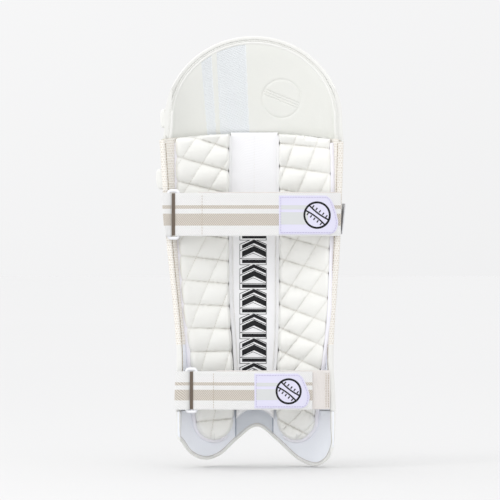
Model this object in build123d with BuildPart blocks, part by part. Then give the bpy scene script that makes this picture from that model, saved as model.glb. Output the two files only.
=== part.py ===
"""Wicket-keeper's leg pad, modelled in its worn, upright position.

+Z runs up the leg, +Y points forward, away from the leg, and -Y is the side that the straps close.
The origin is on the axis of the leg channel, level with the lowest point of the instep lobes.
Lengths are in millimetres.
"""

import os
from math import cos, hypot, radians, sin

from build123d import *

# ---------------------------------------------------------------- driving dimensions
PAD_HEIGHT = 648.0  # lowest lobe to the crown of the top flap
KNEE_Z = 500.0  # the fold between shin and top flap
INSTEP_Z = 84.0  # the fold between shin and instep
FOLD_GAP = 0.5  # each side of a fold line
FACE_Y = 62.0  # the face of the pad, at the middle
FRONT_RADIUS = 95.0  # the gutter's plan ellipse, front to back
GUTTER_Y = FACE_Y - FRONT_RADIUS
RIM_ANGLE = 80.0  # where the gutter's side walls end, from straight ahead
REACH = 200.0  # longer than the pad is wide, for cuts
PARTS_FOLDER = "parts"

# height, left edge and right edge of the shin's gutter
STATIONS = [
    (-6.0, -116.0, 118.5),
    (84.0, -117.0, 119.0),
    (175.0, -116.0, 116.0),
    (340.0, -131.0, 126.0),
    (506.0, -142.5, 131.5),
]

# depth below the face at the sides and at the middle, for each layer of the wall
FACE = (0.0, 0.0)
COVER_BACK = (1.2, 1.5)
FOAM_FACE = (1.3, 1.7)
FOAM_BACK = (4.6, 18.0)
LINING_FACE = (4.8, 18.2)
LINING_BACK = (5.8, 19.7)
MESH_BACK = (6.4, 20.2)
BINDING_FACE = (-0.8, -0.8)
BINDING_BACK = (7.2, 20.9)
CENTRE_FOAM_FACE = (6.6, 20.4)
CENTRE_FOAM_BACK = (6.8, 29.0)
CENTRE_COVER_FACE = (6.9, 29.2)
CENTRE_COVER_BACK = (7.0, 31.0)
BOLSTER_BACK = (7.4, 21.2)
BOLSTER_FOAM_FRONT = (12.2, 43.5)
BOLSTER_COVER_INSIDE = (12.4, 43.7)
BOLSTER_FRONT = (14.0, 45.5)
CAVITY_BACK = (6.4, 20.2)  # the covers are open behind
WELT_BACK = (6.8, 20.6)
WELT_FRONT = (8.4, 22.2)
LINING_SPLIT = 50.0  # angle of the seam between the middle lining and the side panels
SEAM = 0.2
HEM_SEAM = 0.3
RIM_SEAM = 0.6  # degrees
BINDING_WRAP = 4.0  # degrees of gutter beyond the rim
MESH_BOTTOM = 183.0

# face ribs and knee rolls stand outside the face
RIB_COUNT = 7
RIB_PITCH = 18.0
RIB_WIDTH = 15.5
RIB_FRONT = (-12.0, -12.0)
RIB_BACK = (-0.3, -0.3)
RIB_BOTTOM, RIB_TOP = 95.0, 408.0
CANE_RADIUS = 2.5
CANE_DEPTH = -6.5
CANE_END = 8.0
ROLL_FRONT = (-15.0, -17.0)
LOW_ROLL = (415.0, 446.0)
HIGH_ROLL = (452.0, 499.0)
LONG_ROLL_START, SHORT_ROLL_START, ROLL_END = -78.0, -64.0, 62.0

# top flap: its own, flatter gutter
FLAP_LEFT, FLAP_RIGHT = -135.5, 131.0
FLAP_DEPTH = 60.0
FLAP_Y = FACE_Y - FLAP_DEPTH
FLAP_HEM = 6.5
FLAP_STIFFENER_FACE, FLAP_STIFFENER_BACK = (1.7, 1.7), (3.2, 3.2)
FLAP_FOAM_FACE, FLAP_FOAM_BACK = (3.4, 3.4), (11.0, 15.0)
FLAP_LINING_FACE, FLAP_LINING_BACK = (11.2, 15.2), (12.7, 16.7)
FLAP_BINDING_FACE, FLAP_BINDING_BACK = (-0.8, -0.8), (13.5, 17.5)
FLAP_ROLL = (508.0, 537.0)
FLAP_ROLL_FRONT, FLAP_ROLL_BACK = (-11.0, -13.0), (-1.1, -1.1)

# instep: the outline of the two lobes and the arch over the shoe
INSTEP_OUTLINE = [
    (-127.0, 68.0),
    (-119.5, 52.0),
    (-111.6, 38.6),
    (-96.8, 17.9),
    (-73.8, 8.7),
    (-50.0, 16.5),
    (-25.5, 38.6),
    (3.2, 57.6),
    (32.0, 37.0),
    (62.0, 10.0),
    (89.3, 0.0),
    (107.5, 8.5),
    (117.2, 28.0),
    (122.5, 42.0),
    (129.0, 60.0),
]
HEM = 7.0
ARCH_LEFT, ARCH_RIGHT = -29.0, 27.0
INSTEP_RIB_ANGLES = (-54.0, -34.0, 34.0, 54.0)
INSTEP_RIB_FRONT = (-9.0, -9.0)
INSTEP_RIB_TOP, INSTEP_RIB_GAP = 75.0, 3.0
HEM_CUT_BACK = (12.0, 30.0)  # deeper than the hem, so that the cut goes right through

# bolsters and centre pad, seen from behind
LEFT_BOLSTER = [
    (-118.0, 503.0),
    (-119.5, 485.0),
    (-118.5, 412.0),
    (-109.5, 250.0),
    (-99.5, 172.0),
    (-92.0, 79.0),
    (-84.0, 54.0),
    (-67.0, 38.6),
    (-44.0, 46.0),
    (-31.5, 68.0),
    (-31.5, 130.0),
    (-34.5, 190.0),
    (-37.5, 262.0),
    (-37.5, 503.0),
]
RIGHT_BOLSTER = [
    (35.0, 503.0),
    (35.0, 250.0),
    (33.5, 172.0),
    (31.5, 120.0),
    (32.0, 70.0),
    (43.0, 44.0),
    (61.0, 38.2),
    (83.0, 49.0),
    (92.0, 72.0),
    (97.0, 120.0),
    (104.0, 172.0),
    (110.5, 250.0),
    (115.0, 412.0),
    (114.0, 485.0),
    (111.0, 503.0),
]
BOLSTER_TOP = 503.0
BOLSTER_INSET = 1.8
WELT_WIDTH = 6.0
WELT_BOTTOM, WELT_TOP = 60.0, 495.0
CENTRE_LEFT, CENTRE_RIGHT = -35.5, 32.5
CENTRE_ARCH = [(-29.0, 66.0), (0.0, 84.6), (29.5, 68.0)]
CENTRE_NARROWING_LEFT, CENTRE_NARROWING_RIGHT = 7.0, 4.0
CENTRE_BREAKS_LEFT, CENTRE_BREAKS_RIGHT = (260.0, 190.0, 120.0), (120.0, 200.0)
WEBBING_BOTTOM = 377.0
CENTRE_TOP = 502.0

# straps
WEBBING = 1.8
RING_ROD = 2.4
RING_CLEARANCE = 0.6
RING_Y = -30.0
RING_SPACING = 14.5
FOLD_RADIUS = RING_ROD + RING_CLEARANCE + WEBBING / 2
FOLD_OUTSIDE = FOLD_RADIUS + WEBBING / 2
BOW = 12.0  # how far the middle of a strap stands off the line between its ends
LAYER_GAP = 4.0  # between the middles of the two closed layers
PILE = 0.8
HOOK = 0.9
PATCH = 1.0
TAIL_GAP = 0.3
BASE_GAP = 3.0
GLUE_LINE = 0.05  # between layers that are sewn or glued face to face
PILE_START, PILE_MARGIN = 30.0, 2.0
HOOK_END, HOOK_MARGIN = 4.0, 3.0
PATCH_FOOT_BACK, PATCH_NOSE, PATCH_HEAD_BACK = 7.0, 18.0, 14.0
PATCH_CORNERS = [0.5, 7.0, 10.0, 9.0, 0.5]
RING_CORNER, RING_END_GAP = 4.0, 1.0
TAB_LIFT = -1.5 - WEBBING / 2  # the anchor tab's middle, outside the face
TAB_CORNER = 3.0
TAB_TUCK = 6.0  # how far the tab's free end runs in behind the rim
TAB_OVERHANG = 0.4
TAB_MARGIN = 1.0
TAB_WALL_Y = -17.5
TAB_WALL_ANGLE, TAB_FOOT_ANGLE = -74.0, -66.0
REINFORCEMENT_FRONT, REINFORCEMENT_BACK = (-2.6, -2.6), (-1.1, -1.1)
REINFORCEMENT_START = 62.0
REINFORCEMENT_BOTTOM, REINFORCEMENT_TOP = 348.0, 394.0
STRAPS = {
    "upper": {
        "bottom": 345.5, "width": 64.0, "ring_x": -121.8, "base_end": 127.0,
        "tail_end": 128.0, "patch": (35.7, 123.8), "patch_z": (347.8, 405.7),
    },
    "lower": {
        "bottom": 86.5, "width": 57.0, "ring_x": -94.9, "base_end": 112.0,
        "tail_end": 85.5, "patch": (-0.8, 81.3), "patch_z": (88.5, 140.5),
    },
}


# ---------------------------------------------------------------- shared shapes
def plan_section(z, left, right, depth_radius, back_y, outer, inner, start, end):
    """A horizontal slice of a gutter, between two depths below its face and two angles."""
    side_radius = (right - left) / 2 / sin(radians(RIM_ANGLE))
    centre = ((left + right) / 2, back_y)
    with BuildSketch(Plane.XY.offset(z)) as section:
        with BuildLine():
            face = EllipticalCenterArc(
                centre, side_radius - outer[0], depth_radius - outer[1], 90 - end, arc_size=end - start
            )
            back = EllipticalCenterArc(
                centre, side_radius - inner[0], depth_radius - inner[1], 90 - end, arc_size=end - start
            )
            Line(face @ 0, back @ 0)
            Line(face @ 1, back @ 1)
        make_face()
    return section.sketch


def shin_board(outer, inner, start=RIM_SEAM - RIM_ANGLE, end=RIM_ANGLE - RIM_SEAM):
    """A layer of the shin's gutter over its whole height."""
    sections = [
        plan_section(z, left, right, FRONT_RADIUS, GUTTER_Y, outer, inner, start, end)
        for z, left, right in STATIONS
    ]
    return loft(sections)


def flap_board(outer, inner, wrap=0.0):
    """A layer of the top flap's flatter gutter over its whole height."""
    reach = RIM_ANGLE + wrap
    sections = [
        plan_section(z, FLAP_LEFT, FLAP_RIGHT, FLAP_DEPTH, FLAP_Y, outer, inner, -reach, reach)
        for z in (KNEE_Z - 20, PAD_HEIGHT + 2)
    ]
    return loft(sections)


def gutter_point(z, angle, depth):
    """A point at a depth below the face; the edges between stations follow one smooth curve."""
    left = right = 0.0
    for z_here, left_here, right_here in STATIONS:
        weight = 1.0
        for z_other, _, _ in STATIONS:
            if z_other != z_here:
                weight *= (z - z_other) / (z_here - z_other)
        left += weight * left_here
        right += weight * right_here
    side_radius = (right - left) / 2 / sin(radians(RIM_ANGLE))
    x = (left + right) / 2 + (side_radius - depth) * sin(radians(angle))
    y = GUTTER_Y + (FRONT_RADIUS - depth) * cos(radians(angle))
    return x, y


def move_inward(points, inset):
    """Moves an anticlockwise path sideways, towards what it encloses."""
    moved = []
    for index, (x, z) in enumerate(points):
        before = points[max(index - 1, 0)]
        after = points[min(index + 1, len(points) - 1)]
        along_x, along_z = after[0] - before[0], after[1] - before[1]
        length = hypot(along_x, along_z)
        moved.append((x - inset * along_z / length, z + inset * along_x / length))
    return moved


def keep_inside(outline):
    """Trims the current part to an outline seen from behind."""
    extrude(outline, amount=REACH, both=True, mode=Mode.INTERSECT)


def cut_away(outline):
    """Removes from the current part what lies inside an outline seen from behind."""
    extrude(outline, amount=REACH, both=True, mode=Mode.SUBTRACT)


def band(bottom, top, left=-REACH, right=REACH):
    """A rectangle seen from behind."""
    with BuildSketch(Plane.XZ) as shape:
        with BuildLine():
            Polyline((left, bottom), (right, bottom), (right, top), (left, top), close=True)
        make_face()
    return shape.sketch


def knee_arc(height):
    """The fold at the knee, seen from behind: it drops a little towards the rims."""
    return ThreePointArc((REACH, height - 25), (-5.0, height), (-REACH, height - 25))


def shin_outline(bottom=INSTEP_Z + FOLD_GAP):
    """The shin seen from behind."""
    with BuildSketch(Plane.XZ) as shape:
        with BuildLine():
            top = knee_arc(KNEE_Z - FOLD_GAP)
            Polyline(top @ 1, (-REACH, bottom), (REACH, bottom), top @ 0)
        make_face()
    return shape.sketch


def instep_outline(inset=0.0):
    """The two lobes and the arch seen from behind."""
    points = move_inward(INSTEP_OUTLINE, inset)
    top = INSTEP_Z - FOLD_GAP
    with BuildSketch(Plane.XZ) as shape:
        with BuildLine():
            Spline(*points)
            Polyline(points[-1], (points[-1][0], top), (points[0][0], top), points[0])
        make_face()
    return shape.sketch


def flap_outline(inset=0.0):
    """The dome of the top flap seen from behind."""
    left, right = FLAP_LEFT + inset, FLAP_RIGHT - inset
    middle, shoulder = (left + right) / 2, KNEE_Z + 20
    crown = PAD_HEIGHT - inset - shoulder
    with BuildSketch(Plane.XZ) as shape:
        with BuildLine():
            Polyline((left, shoulder), (left, KNEE_Z - 30), (right, KNEE_Z - 30), (right, shoulder))
            EllipticalCenterArc((middle, shoulder), (right - left) / 2, crown, 0, arc_size=180)
        make_face()
        with BuildLine():
            bottom = knee_arc(KNEE_Z + FOLD_GAP)
            Polyline(bottom @ 1, (-REACH, 0), (REACH, 0), bottom @ 0)
        make_face(mode=Mode.SUBTRACT)
    return shape.sketch


def bolster_outline(points, inset=0.0, shift=0.0):
    """A bolster seen from behind, straight across its top."""
    path = [(x + shift, min(z, BOLSTER_TOP - inset)) for x, z in move_inward(points, inset)]
    with BuildSketch(Plane.XZ) as shape:
        with BuildLine():
            Spline(*path)
            Line(path[-1], path[0])
        make_face()
    return shape.sketch


def centre_outline(bottom_arch=True, bottom=0.0, top=CENTRE_TOP, inset=0.0):
    """The strip between the bolsters seen from behind; its lower end arches over the shoe's tongue."""
    left, right = CENTRE_LEFT + inset, CENTRE_RIGHT - inset
    with BuildSketch(Plane.XZ) as shape:
        with BuildLine():
            if bottom_arch:
                foot_left, foot_right = left + CENTRE_NARROWING_LEFT, right - CENTRE_NARROWING_RIGHT
                low_left, low_right = (foot_left, CENTRE_ARCH[0][1]), (foot_right, CENTRE_ARCH[2][1])
                lower, upper = CENTRE_BREAKS_RIGHT
                ThreePointArc(low_left, CENTRE_ARCH[1], low_right)
                Polyline(low_right, (foot_right, lower), (right, upper), (right, top), (left, top))
                upper, between, lower = CENTRE_BREAKS_LEFT
                half_way = (left + foot_left) / 2
                Polyline((left, top), (left, upper), (half_way, between), (foot_left, lower), low_left)
            else:
                Polyline((left, bottom), (right, bottom), (right, top), (left, top), close=True)
        make_face()
    return shape.sketch


def save(part, name):
    """Labels a finished piece and writes its STEP."""
    part.label = name
    export_step(part, f"{PARTS_FOLDER}/{name}.step")
    print(f"{name:28s} {part.volume / 1000:9.2f} cm3")


os.makedirs(PARTS_FOLDER, exist_ok=True)

# ---------------------------------------------------------------- shin: face, core and linings
with BuildPart() as front_cover:
    shin_board(FACE, COVER_BACK)
    keep_inside(shin_outline())
save(front_cover.part, "front_cover")

with BuildPart() as shin_foam:
    shin_board(FOAM_FACE, FOAM_BACK)
    keep_inside(shin_outline())
save(shin_foam.part, "shin_foam")

with BuildPart() as shin_lining:
    shin_board(LINING_FACE, LINING_BACK, -LINING_SPLIT + SEAM, LINING_SPLIT - SEAM)
    keep_inside(shin_outline())
save(shin_lining.part, "shin_lining")

wall_edge = RIM_ANGLE - RIM_SEAM
for side, start, end in (("left", -wall_edge, -LINING_SPLIT), ("right", LINING_SPLIT, wall_edge)):
    with BuildPart() as wing_mesh:
        shin_board(LINING_FACE, MESH_BACK, start, end)
        keep_inside(shin_outline(MESH_BOTTOM))
    save(wing_mesh.part, f"{side}_wing_mesh")

    with BuildPart() as side_lining:
        shin_board(LINING_FACE, LINING_BACK, start, end)
        keep_inside(band(INSTEP_Z + FOLD_GAP, MESH_BOTTOM - SEAM))
    save(side_lining.part, f"{side}_side_lining")

binding_edge = RIM_ANGLE + BINDING_WRAP
for side, start, end in (("left", -binding_edge, -RIM_ANGLE), ("right", RIM_ANGLE, binding_edge)):
    with BuildPart() as rim_binding:
        shin_board(BINDING_FACE, BINDING_BACK, start, end)
        keep_inside(shin_outline())
    save(rim_binding.part, f"{side}_rim_binding")

# ---------------------------------------------------------------- face ribs, canes and knee rolls
rib_angles = [RIB_PITCH * (number - (RIB_COUNT - 1) / 2) for number in range(RIB_COUNT)]


def cane_line(angle):
    """The middle of a cane, inside its rib and clear of both the rib's ends."""
    foot, head = RIB_BOTTOM + CANE_END, RIB_TOP - CANE_END
    heights = [foot + (head - foot) * step / 5 for step in range(6)]
    return [(*gutter_point(z, angle, CANE_DEPTH), z) for z in heights]


def cane(angle, radius):
    """A round rod along the middle of a rib."""
    points = cane_line(angle)
    with BuildPart() as rod:
        with BuildLine() as path:
            Spline(*points)
        with BuildSketch(Plane(origin=points[0], z_dir=path.line % 0)):
            Circle(radius)
        sweep()
    return rod.part


canes = [cane(angle, CANE_RADIUS) for angle in rib_angles]
sleeves = [cane(angle, CANE_RADIUS + 0.05) for angle in rib_angles]

with BuildPart() as cane_rods:
    for rod in canes:
        add(rod)
save(cane_rods.part, "cane_rods")

for number, angle in enumerate(rib_angles, start=1):
    with BuildPart() as face_rib:
        shin_board(RIB_FRONT, RIB_BACK, angle - RIB_WIDTH / 2, angle + RIB_WIDTH / 2)
        keep_inside(band(RIB_BOTTOM, RIB_TOP))
        add(sleeves[number - 1], mode=Mode.SUBTRACT)
    save(face_rib.part, f"face_rib_{number}")

for name, (bottom, top), start in (
    ("low_knee_roll", LOW_ROLL, LONG_ROLL_START),
    ("high_knee_roll", HIGH_ROLL, SHORT_ROLL_START),
):
    with BuildPart() as knee_roll:
        shin_board(ROLL_FRONT, RIB_BACK, start, ROLL_END)
        keep_inside(band(bottom, top))
        keep_inside(shin_outline())
    save(knee_roll.part, name)

# ---------------------------------------------------------------- bolsters and centre pad
for side, points, outward in (("left", LEFT_BOLSTER, -1), ("right", RIGHT_BOLSTER, 1)):
    with BuildPart() as bolster_foam:
        shin_board(BOLSTER_BACK, BOLSTER_FOAM_FRONT)
        keep_inside(bolster_outline(points, inset=BOLSTER_INSET))
    save(bolster_foam.part, f"{side}_bolster_foam")

    with BuildPart() as cover_cavity:
        shin_board(CAVITY_BACK, BOLSTER_COVER_INSIDE)
        keep_inside(bolster_outline(points, inset=BOLSTER_INSET - 2 * SEAM))
    with BuildPart() as bolster_cover:
        shin_board(BOLSTER_BACK, BOLSTER_FRONT)
        keep_inside(bolster_outline(points))
        add(cover_cavity.part, mode=Mode.SUBTRACT)
    save(bolster_cover.part, f"{side}_bolster_cover")

    with BuildPart() as bolster_welt:
        shin_board(WELT_BACK, WELT_FRONT)
        keep_inside(bolster_outline(points, shift=outward * WELT_WIDTH))
        keep_inside(band(WELT_BOTTOM, WELT_TOP))
        cut_away(bolster_outline(points, shift=outward * SEAM))
    save(bolster_welt.part.solids().sort_by(SortBy.VOLUME)[-1], f"{side}_bolster_welt")

with BuildPart() as centre_foam:
    shin_board(CENTRE_FOAM_FACE, CENTRE_FOAM_BACK)
    keep_inside(centre_outline(inset=1.0))
save(centre_foam.part, "centre_pad_foam")

with BuildPart() as centre_cover:
    shin_board(CENTRE_COVER_FACE, CENTRE_COVER_BACK)
    keep_inside(centre_outline(top=WEBBING_BOTTOM - SEAM))
save(centre_cover.part, "centre_pad_cover")

with BuildPart() as spine_webbing:
    shin_board(CENTRE_COVER_FACE, CENTRE_COVER_BACK)
    keep_inside(centre_outline(bottom_arch=False, bottom=WEBBING_BOTTOM))
save(spine_webbing.part, "spine_webbing")

# ---------------------------------------------------------------- instep
for name, outer, inner in (
    ("instep_cover", FACE, COVER_BACK),
    ("instep_foam", FOAM_FACE, FOAM_BACK),
):
    with BuildPart() as instep_layer:
        shin_board(outer, inner)
        keep_inside(instep_outline(inset=HEM + HEM_SEAM))
    save(instep_layer.part, name)

for name, left, right in (
    ("instep_left_lining", -REACH, ARCH_LEFT),
    ("instep_arch_lining", ARCH_LEFT + SEAM, ARCH_RIGHT - SEAM),
    ("instep_right_lining", ARCH_RIGHT, REACH),
):
    with BuildPart() as instep_lining:
        shin_board(LINING_FACE, LINING_BACK)
        keep_inside(instep_outline(inset=HEM + HEM_SEAM))
        keep_inside(band(-REACH, REACH, left, right))
    save(instep_lining.part, name)

with BuildPart() as instep_core:
    shin_board(INSTEP_RIB_FRONT, HEM_CUT_BACK, -RIM_ANGLE, RIM_ANGLE)
    keep_inside(instep_outline(inset=HEM))
with BuildPart() as instep_binding:
    shin_board(BINDING_FACE, BINDING_BACK, -RIM_ANGLE - BINDING_WRAP, RIM_ANGLE + BINDING_WRAP)
    keep_inside(instep_outline())
    add(instep_core.part, mode=Mode.SUBTRACT)
save(instep_binding.part, "instep_binding")

with BuildPart() as instep_ribs:
    for angle in INSTEP_RIB_ANGLES:
        shin_board(INSTEP_RIB_FRONT, RIB_BACK, angle - RIB_WIDTH / 2, angle + RIB_WIDTH / 2)
    keep_inside(instep_outline(inset=HEM + INSTEP_RIB_GAP))
    keep_inside(band(-REACH, INSTEP_RIB_TOP))
save(instep_ribs.part, "instep_ribs")

# ---------------------------------------------------------------- top flap
for name, outer, inner in (
    ("top_flap_cover", FACE, COVER_BACK),
    ("top_flap_stiffener", FLAP_STIFFENER_FACE, FLAP_STIFFENER_BACK),
    ("top_flap_foam", FLAP_FOAM_FACE, FLAP_FOAM_BACK),
    ("top_flap_lining", FLAP_LINING_FACE, FLAP_LINING_BACK),
):
    with BuildPart() as flap_layer:
        flap_board(outer, inner)
        keep_inside(flap_outline(inset=FLAP_HEM + HEM_SEAM))
    save(flap_layer.part, name)

with BuildPart() as flap_binding:
    flap_board(FLAP_BINDING_FACE, FLAP_BINDING_BACK, wrap=3.0)
    keep_inside(flap_outline())
    cut_away(flap_outline(inset=FLAP_HEM))
save(flap_binding.part, "top_flap_binding")

with BuildPart() as flap_roll:
    loft([
        plan_section(
            z, FLAP_LEFT, FLAP_RIGHT, FLAP_DEPTH, FLAP_Y,
            FLAP_ROLL_FRONT, FLAP_ROLL_BACK, LONG_ROLL_START, ROLL_END,
        )
        for z in FLAP_ROLL
    ])
save(flap_roll.part, "top_flap_roll")


# ---------------------------------------------------------------- straps, rings and anchors
def strap_lines(strap):
    """Plan curves of a closed strap: y of the base layer and of the tail that lies over it, at a given x."""
    ring_right = strap["ring_x"] + RING_SPACING / 2
    middle = (ring_right + strap["base_end"]) / 2
    half = (strap["base_end"] - ring_right) / 2

    def base_y(x):
        return RING_Y + FOLD_RADIUS - BOW * (1 - ((x - middle) / half) ** 2)

    def tail_y(x):
        near_ring = max(0.0, 1 - (x - ring_right) / 100)
        return base_y(x) - LAYER_GAP - (2 * FOLD_RADIUS - LAYER_GAP) * near_ring**2

    return base_y, tail_y


def strip(curve, left, right, near, far):
    """A plan-view strip along a curve, between two offsets from it."""
    stations = [left + (right - left) * step / 8 for step in range(9)]
    with BuildSketch(Plane.XY) as shape:
        with BuildLine():
            front = Spline(*[(x, curve(x) + near) for x in stations])
            rear = Spline(*[(x, curve(x) + far) for x in stations])
            Line(front @ 0, rear @ 0)
            Line(front @ 1, rear @ 1)
        make_face()
    return shape.sketch


def lift(sketch, bottom, height):
    """Extrudes a plan-view sketch between two heights."""
    extrude(Plane.XY.offset(bottom) * sketch, amount=height)


for name, strap in STRAPS.items():
    bottom, width, ring_x = strap["bottom"], strap["width"], strap["ring_x"]
    ring_left, ring_right = ring_x - RING_SPACING / 2, ring_x + RING_SPACING / 2
    base_y, tail_y = strap_lines(strap)
    half_webbing = WEBBING / 2
    patch_left, patch_right = strap["patch"]
    patch_bottom, patch_top = strap["patch_z"]

    with BuildPart() as ring:
        with BuildLine(Plane.XZ.offset(-RING_Y)):
            height = width / 2 + RING_ROD + RING_END_GAP
            FilletPolyline(
                (ring_left, bottom + width / 2 - height),
                (ring_right, bottom + width / 2 - height),
                (ring_right, bottom + width / 2 + height),
                (ring_left, bottom + width / 2 + height),
                radius=RING_CORNER,
                close=True,
            )
        with BuildSketch(Plane(origin=(ring_right, RING_Y, bottom + width / 2), z_dir=(0, 0, 1))):
            Circle(RING_ROD)
        sweep()
    save(ring.part, f"{name}_ring")

    with BuildPart() as strap_base:
        base_plan = strip(base_y, ring_right + BASE_GAP, strap["base_end"], -half_webbing, half_webbing)
        lift(base_plan, bottom, width)
    save(strap_base.part, f"{name}_strap_base")

    with BuildPart() as loop_pile:
        lift(
            strip(
                base_y, ring_right + PILE_START, strap["base_end"] - PILE_MARGIN,
                -half_webbing - PILE, -half_webbing - GLUE_LINE,
            ),
            bottom + PILE_MARGIN,
            width - 2 * PILE_MARGIN,
        )
    save(loop_pile.part, f"{name}_loop_pile")

    with BuildPart() as strap_fold:
        with BuildSketch(Plane.XY.offset(bottom)):
            with BuildLine():
                CenterArc((ring_right, RING_Y), FOLD_OUTSIDE, 90, 180)
                CenterArc((ring_right, RING_Y), FOLD_OUTSIDE - WEBBING, 90, 180)
                Line((ring_right, RING_Y + FOLD_OUTSIDE - WEBBING), (ring_right, RING_Y + FOLD_OUTSIDE))
                Line((ring_right, RING_Y - FOLD_OUTSIDE + WEBBING), (ring_right, RING_Y - FOLD_OUTSIDE))
            make_face()
        extrude(amount=width)
    save(strap_fold.part, f"{name}_strap_fold")

    with BuildPart() as strap_tail:
        tail_plan = strip(tail_y, ring_right + TAIL_GAP, strap["tail_end"], -half_webbing, half_webbing)
        lift(tail_plan, bottom, width)
    save(strap_tail.part, f"{name}_strap_tail")

    with BuildPart() as hook_pad:
        lift(
            strip(
                tail_y, patch_left + HOOK_END, strap["tail_end"] - HOOK_END,
                half_webbing + GLUE_LINE, half_webbing + HOOK,
            ),
            bottom + HOOK_MARGIN,
            width - 2 * HOOK_MARGIN,
        )
    save(hook_pad.part, f"{name}_hook_pad")

    with BuildPart() as strap_patch:
        patch_plan = strip(tail_y, patch_left, patch_right, -half_webbing - PATCH, -half_webbing - GLUE_LINE)
        lift(patch_plan, bottom, width)
        with BuildSketch(Plane.XZ) as patch_outline:
            with BuildLine():
                FilletPolyline(
                    (patch_left, patch_bottom),
                    (patch_right - PATCH_FOOT_BACK, patch_bottom),
                    (patch_right, patch_bottom + PATCH_NOSE),
                    (patch_right - PATCH_HEAD_BACK, patch_top),
                    (patch_left, patch_top),
                    radius=PATCH_CORNERS,
                    close=True,
                )
            make_face()
        extrude(patch_outline.sketch, amount=REACH, both=True, mode=Mode.INTERSECT)
    save(strap_patch.part, f"{name}_strap_patch")


def anchor_plan(strap, z):
    """An anchor tab in plan: round the ring's outer bar, over the rim, and down the outside of the wall."""
    ring_left = strap["ring_x"] - RING_SPACING / 2
    front_y, back_y = RING_Y - FOLD_RADIUS, RING_Y + FOLD_RADIUS
    edge_x = gutter_point(z, -RIM_ANGLE - BINDING_WRAP, TAB_LIFT)[0] - TAB_OVERHANG
    wall = gutter_point(z, TAB_WALL_ANGLE, TAB_LIFT)
    foot = gutter_point(z, TAB_FOOT_ANGLE, TAB_LIFT)
    over_rim = [(ring_left, front_y), (edge_x, front_y), (edge_x, TAB_WALL_Y), wall, foot]
    with BuildSketch(Plane.XY.offset(z)) as shape:
        with BuildLine():
            Line((edge_x + TAB_TUCK, back_y), (ring_left, back_y))
            CenterArc((ring_left, RING_Y), FOLD_RADIUS, 90, -180)
            FilletPolyline(*over_rim, radius=TAB_CORNER)
        trace(line_width=WEBBING)
    return shape.sketch


for name, strap in STRAPS.items():
    low, high = strap["bottom"] + TAB_MARGIN, strap["bottom"] + strap["width"] - TAB_MARGIN
    with BuildPart() as anchor_tab:
        loft([anchor_plan(strap, low), anchor_plan(strap, high)])
    save(anchor_tab.part, f"{name}_ring_anchor")

with BuildPart() as strap_reinforcement:
    shin_board(REINFORCEMENT_FRONT, REINFORCEMENT_BACK, REINFORCEMENT_START, RIM_ANGLE + BINDING_WRAP)
    keep_inside(band(REINFORCEMENT_BOTTOM, REINFORCEMENT_TOP))
save(strap_reinforcement.part, "strap_reinforcement")
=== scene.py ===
# %% [markdown]
# # A wicket-keeper's leg pad
#
# The pad is a padded gutter that stands in front of the shin. A domed flap covers the knee, two lobes and
# an arch sit over the shoe, two quilted bolsters hold the shin off the shell, and two striped straps close
# the back. Every soft piece here is cut as a flat panel, the way a saddler cuts it, and is then laid on the
# pad's curve.

# %% The frame and the camera
import math

import bpy
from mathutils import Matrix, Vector, noise


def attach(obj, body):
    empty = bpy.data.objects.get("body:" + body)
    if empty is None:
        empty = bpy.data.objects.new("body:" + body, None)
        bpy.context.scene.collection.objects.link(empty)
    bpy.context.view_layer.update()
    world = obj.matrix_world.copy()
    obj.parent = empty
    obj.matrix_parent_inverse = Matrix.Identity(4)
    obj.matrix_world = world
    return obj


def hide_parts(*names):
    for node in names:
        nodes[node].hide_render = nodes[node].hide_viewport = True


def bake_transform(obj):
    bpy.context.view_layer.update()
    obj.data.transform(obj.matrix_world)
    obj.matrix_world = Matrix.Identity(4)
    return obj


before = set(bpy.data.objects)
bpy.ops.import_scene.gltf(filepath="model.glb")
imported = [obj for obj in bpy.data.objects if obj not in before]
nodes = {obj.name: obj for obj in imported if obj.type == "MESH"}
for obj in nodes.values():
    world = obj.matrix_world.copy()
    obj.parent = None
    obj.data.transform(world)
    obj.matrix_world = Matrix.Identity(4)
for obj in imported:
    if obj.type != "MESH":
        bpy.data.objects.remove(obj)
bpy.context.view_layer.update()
MM = 0.001

VIEW_CENTRE = Vector((-0.0075, 0.0, 0.3245))
VIEW_WIDTH = 0.75
SHOT_DISTANCE = 6.0
SENSOR = 36.0


def deselect():
    """Operators act on all that is selected, so each one starts from nothing."""
    bpy.ops.object.select_all(action="DESELECT")


deselect()
camera_spot = VIEW_CENTRE + Vector((0, -SHOT_DISTANCE, 0))
bpy.ops.object.camera_add(location=camera_spot, rotation=(math.radians(90), 0, 0))
camera = bpy.context.object
camera.data.sensor_width = SENSOR
camera.data.lens = SENSOR * SHOT_DISTANCE / VIEW_WIDTH
camera.data.clip_end = 50
bpy.context.scene.camera = camera
print("lens", round(camera.data.lens, 1), "mm")

# %% [markdown]
# ## The curve that everything lies on
#
# The shell is a gutter: a slice through it is most of a half ellipse, wider at the knee than at the ankle.
# A place on the pad is an angle round that ellipse, a height, and a depth below the face. Depths are given
# twice, at the rims and at the middle, because the wall is thin at its sides and thick over the shin.

# %% Places on the shell and on the knee flap
KNEE, INSTEP = 0.500, 0.084
FOLD_GAP = 0.0005
FACE_Y = 0.062
SHIN_DEPTH, FLAP_DEPTH = 0.095, 0.060
RIM = 80.0
RIM_SINE = math.sin(math.radians(RIM))
FLAP_LEFT, FLAP_RIGHT = -0.1355, 0.131
CROWN = 0.648
LEFT_EDGE = [(-0.006, -0.116), (0.084, -0.117), (0.175, -0.116), (0.340, -0.131), (0.506, -0.1425)]
RIGHT_EDGE = [(-0.006, 0.1185), (0.084, 0.119), (0.175, 0.116), (0.340, 0.126), (0.506, 0.1315)]

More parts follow.
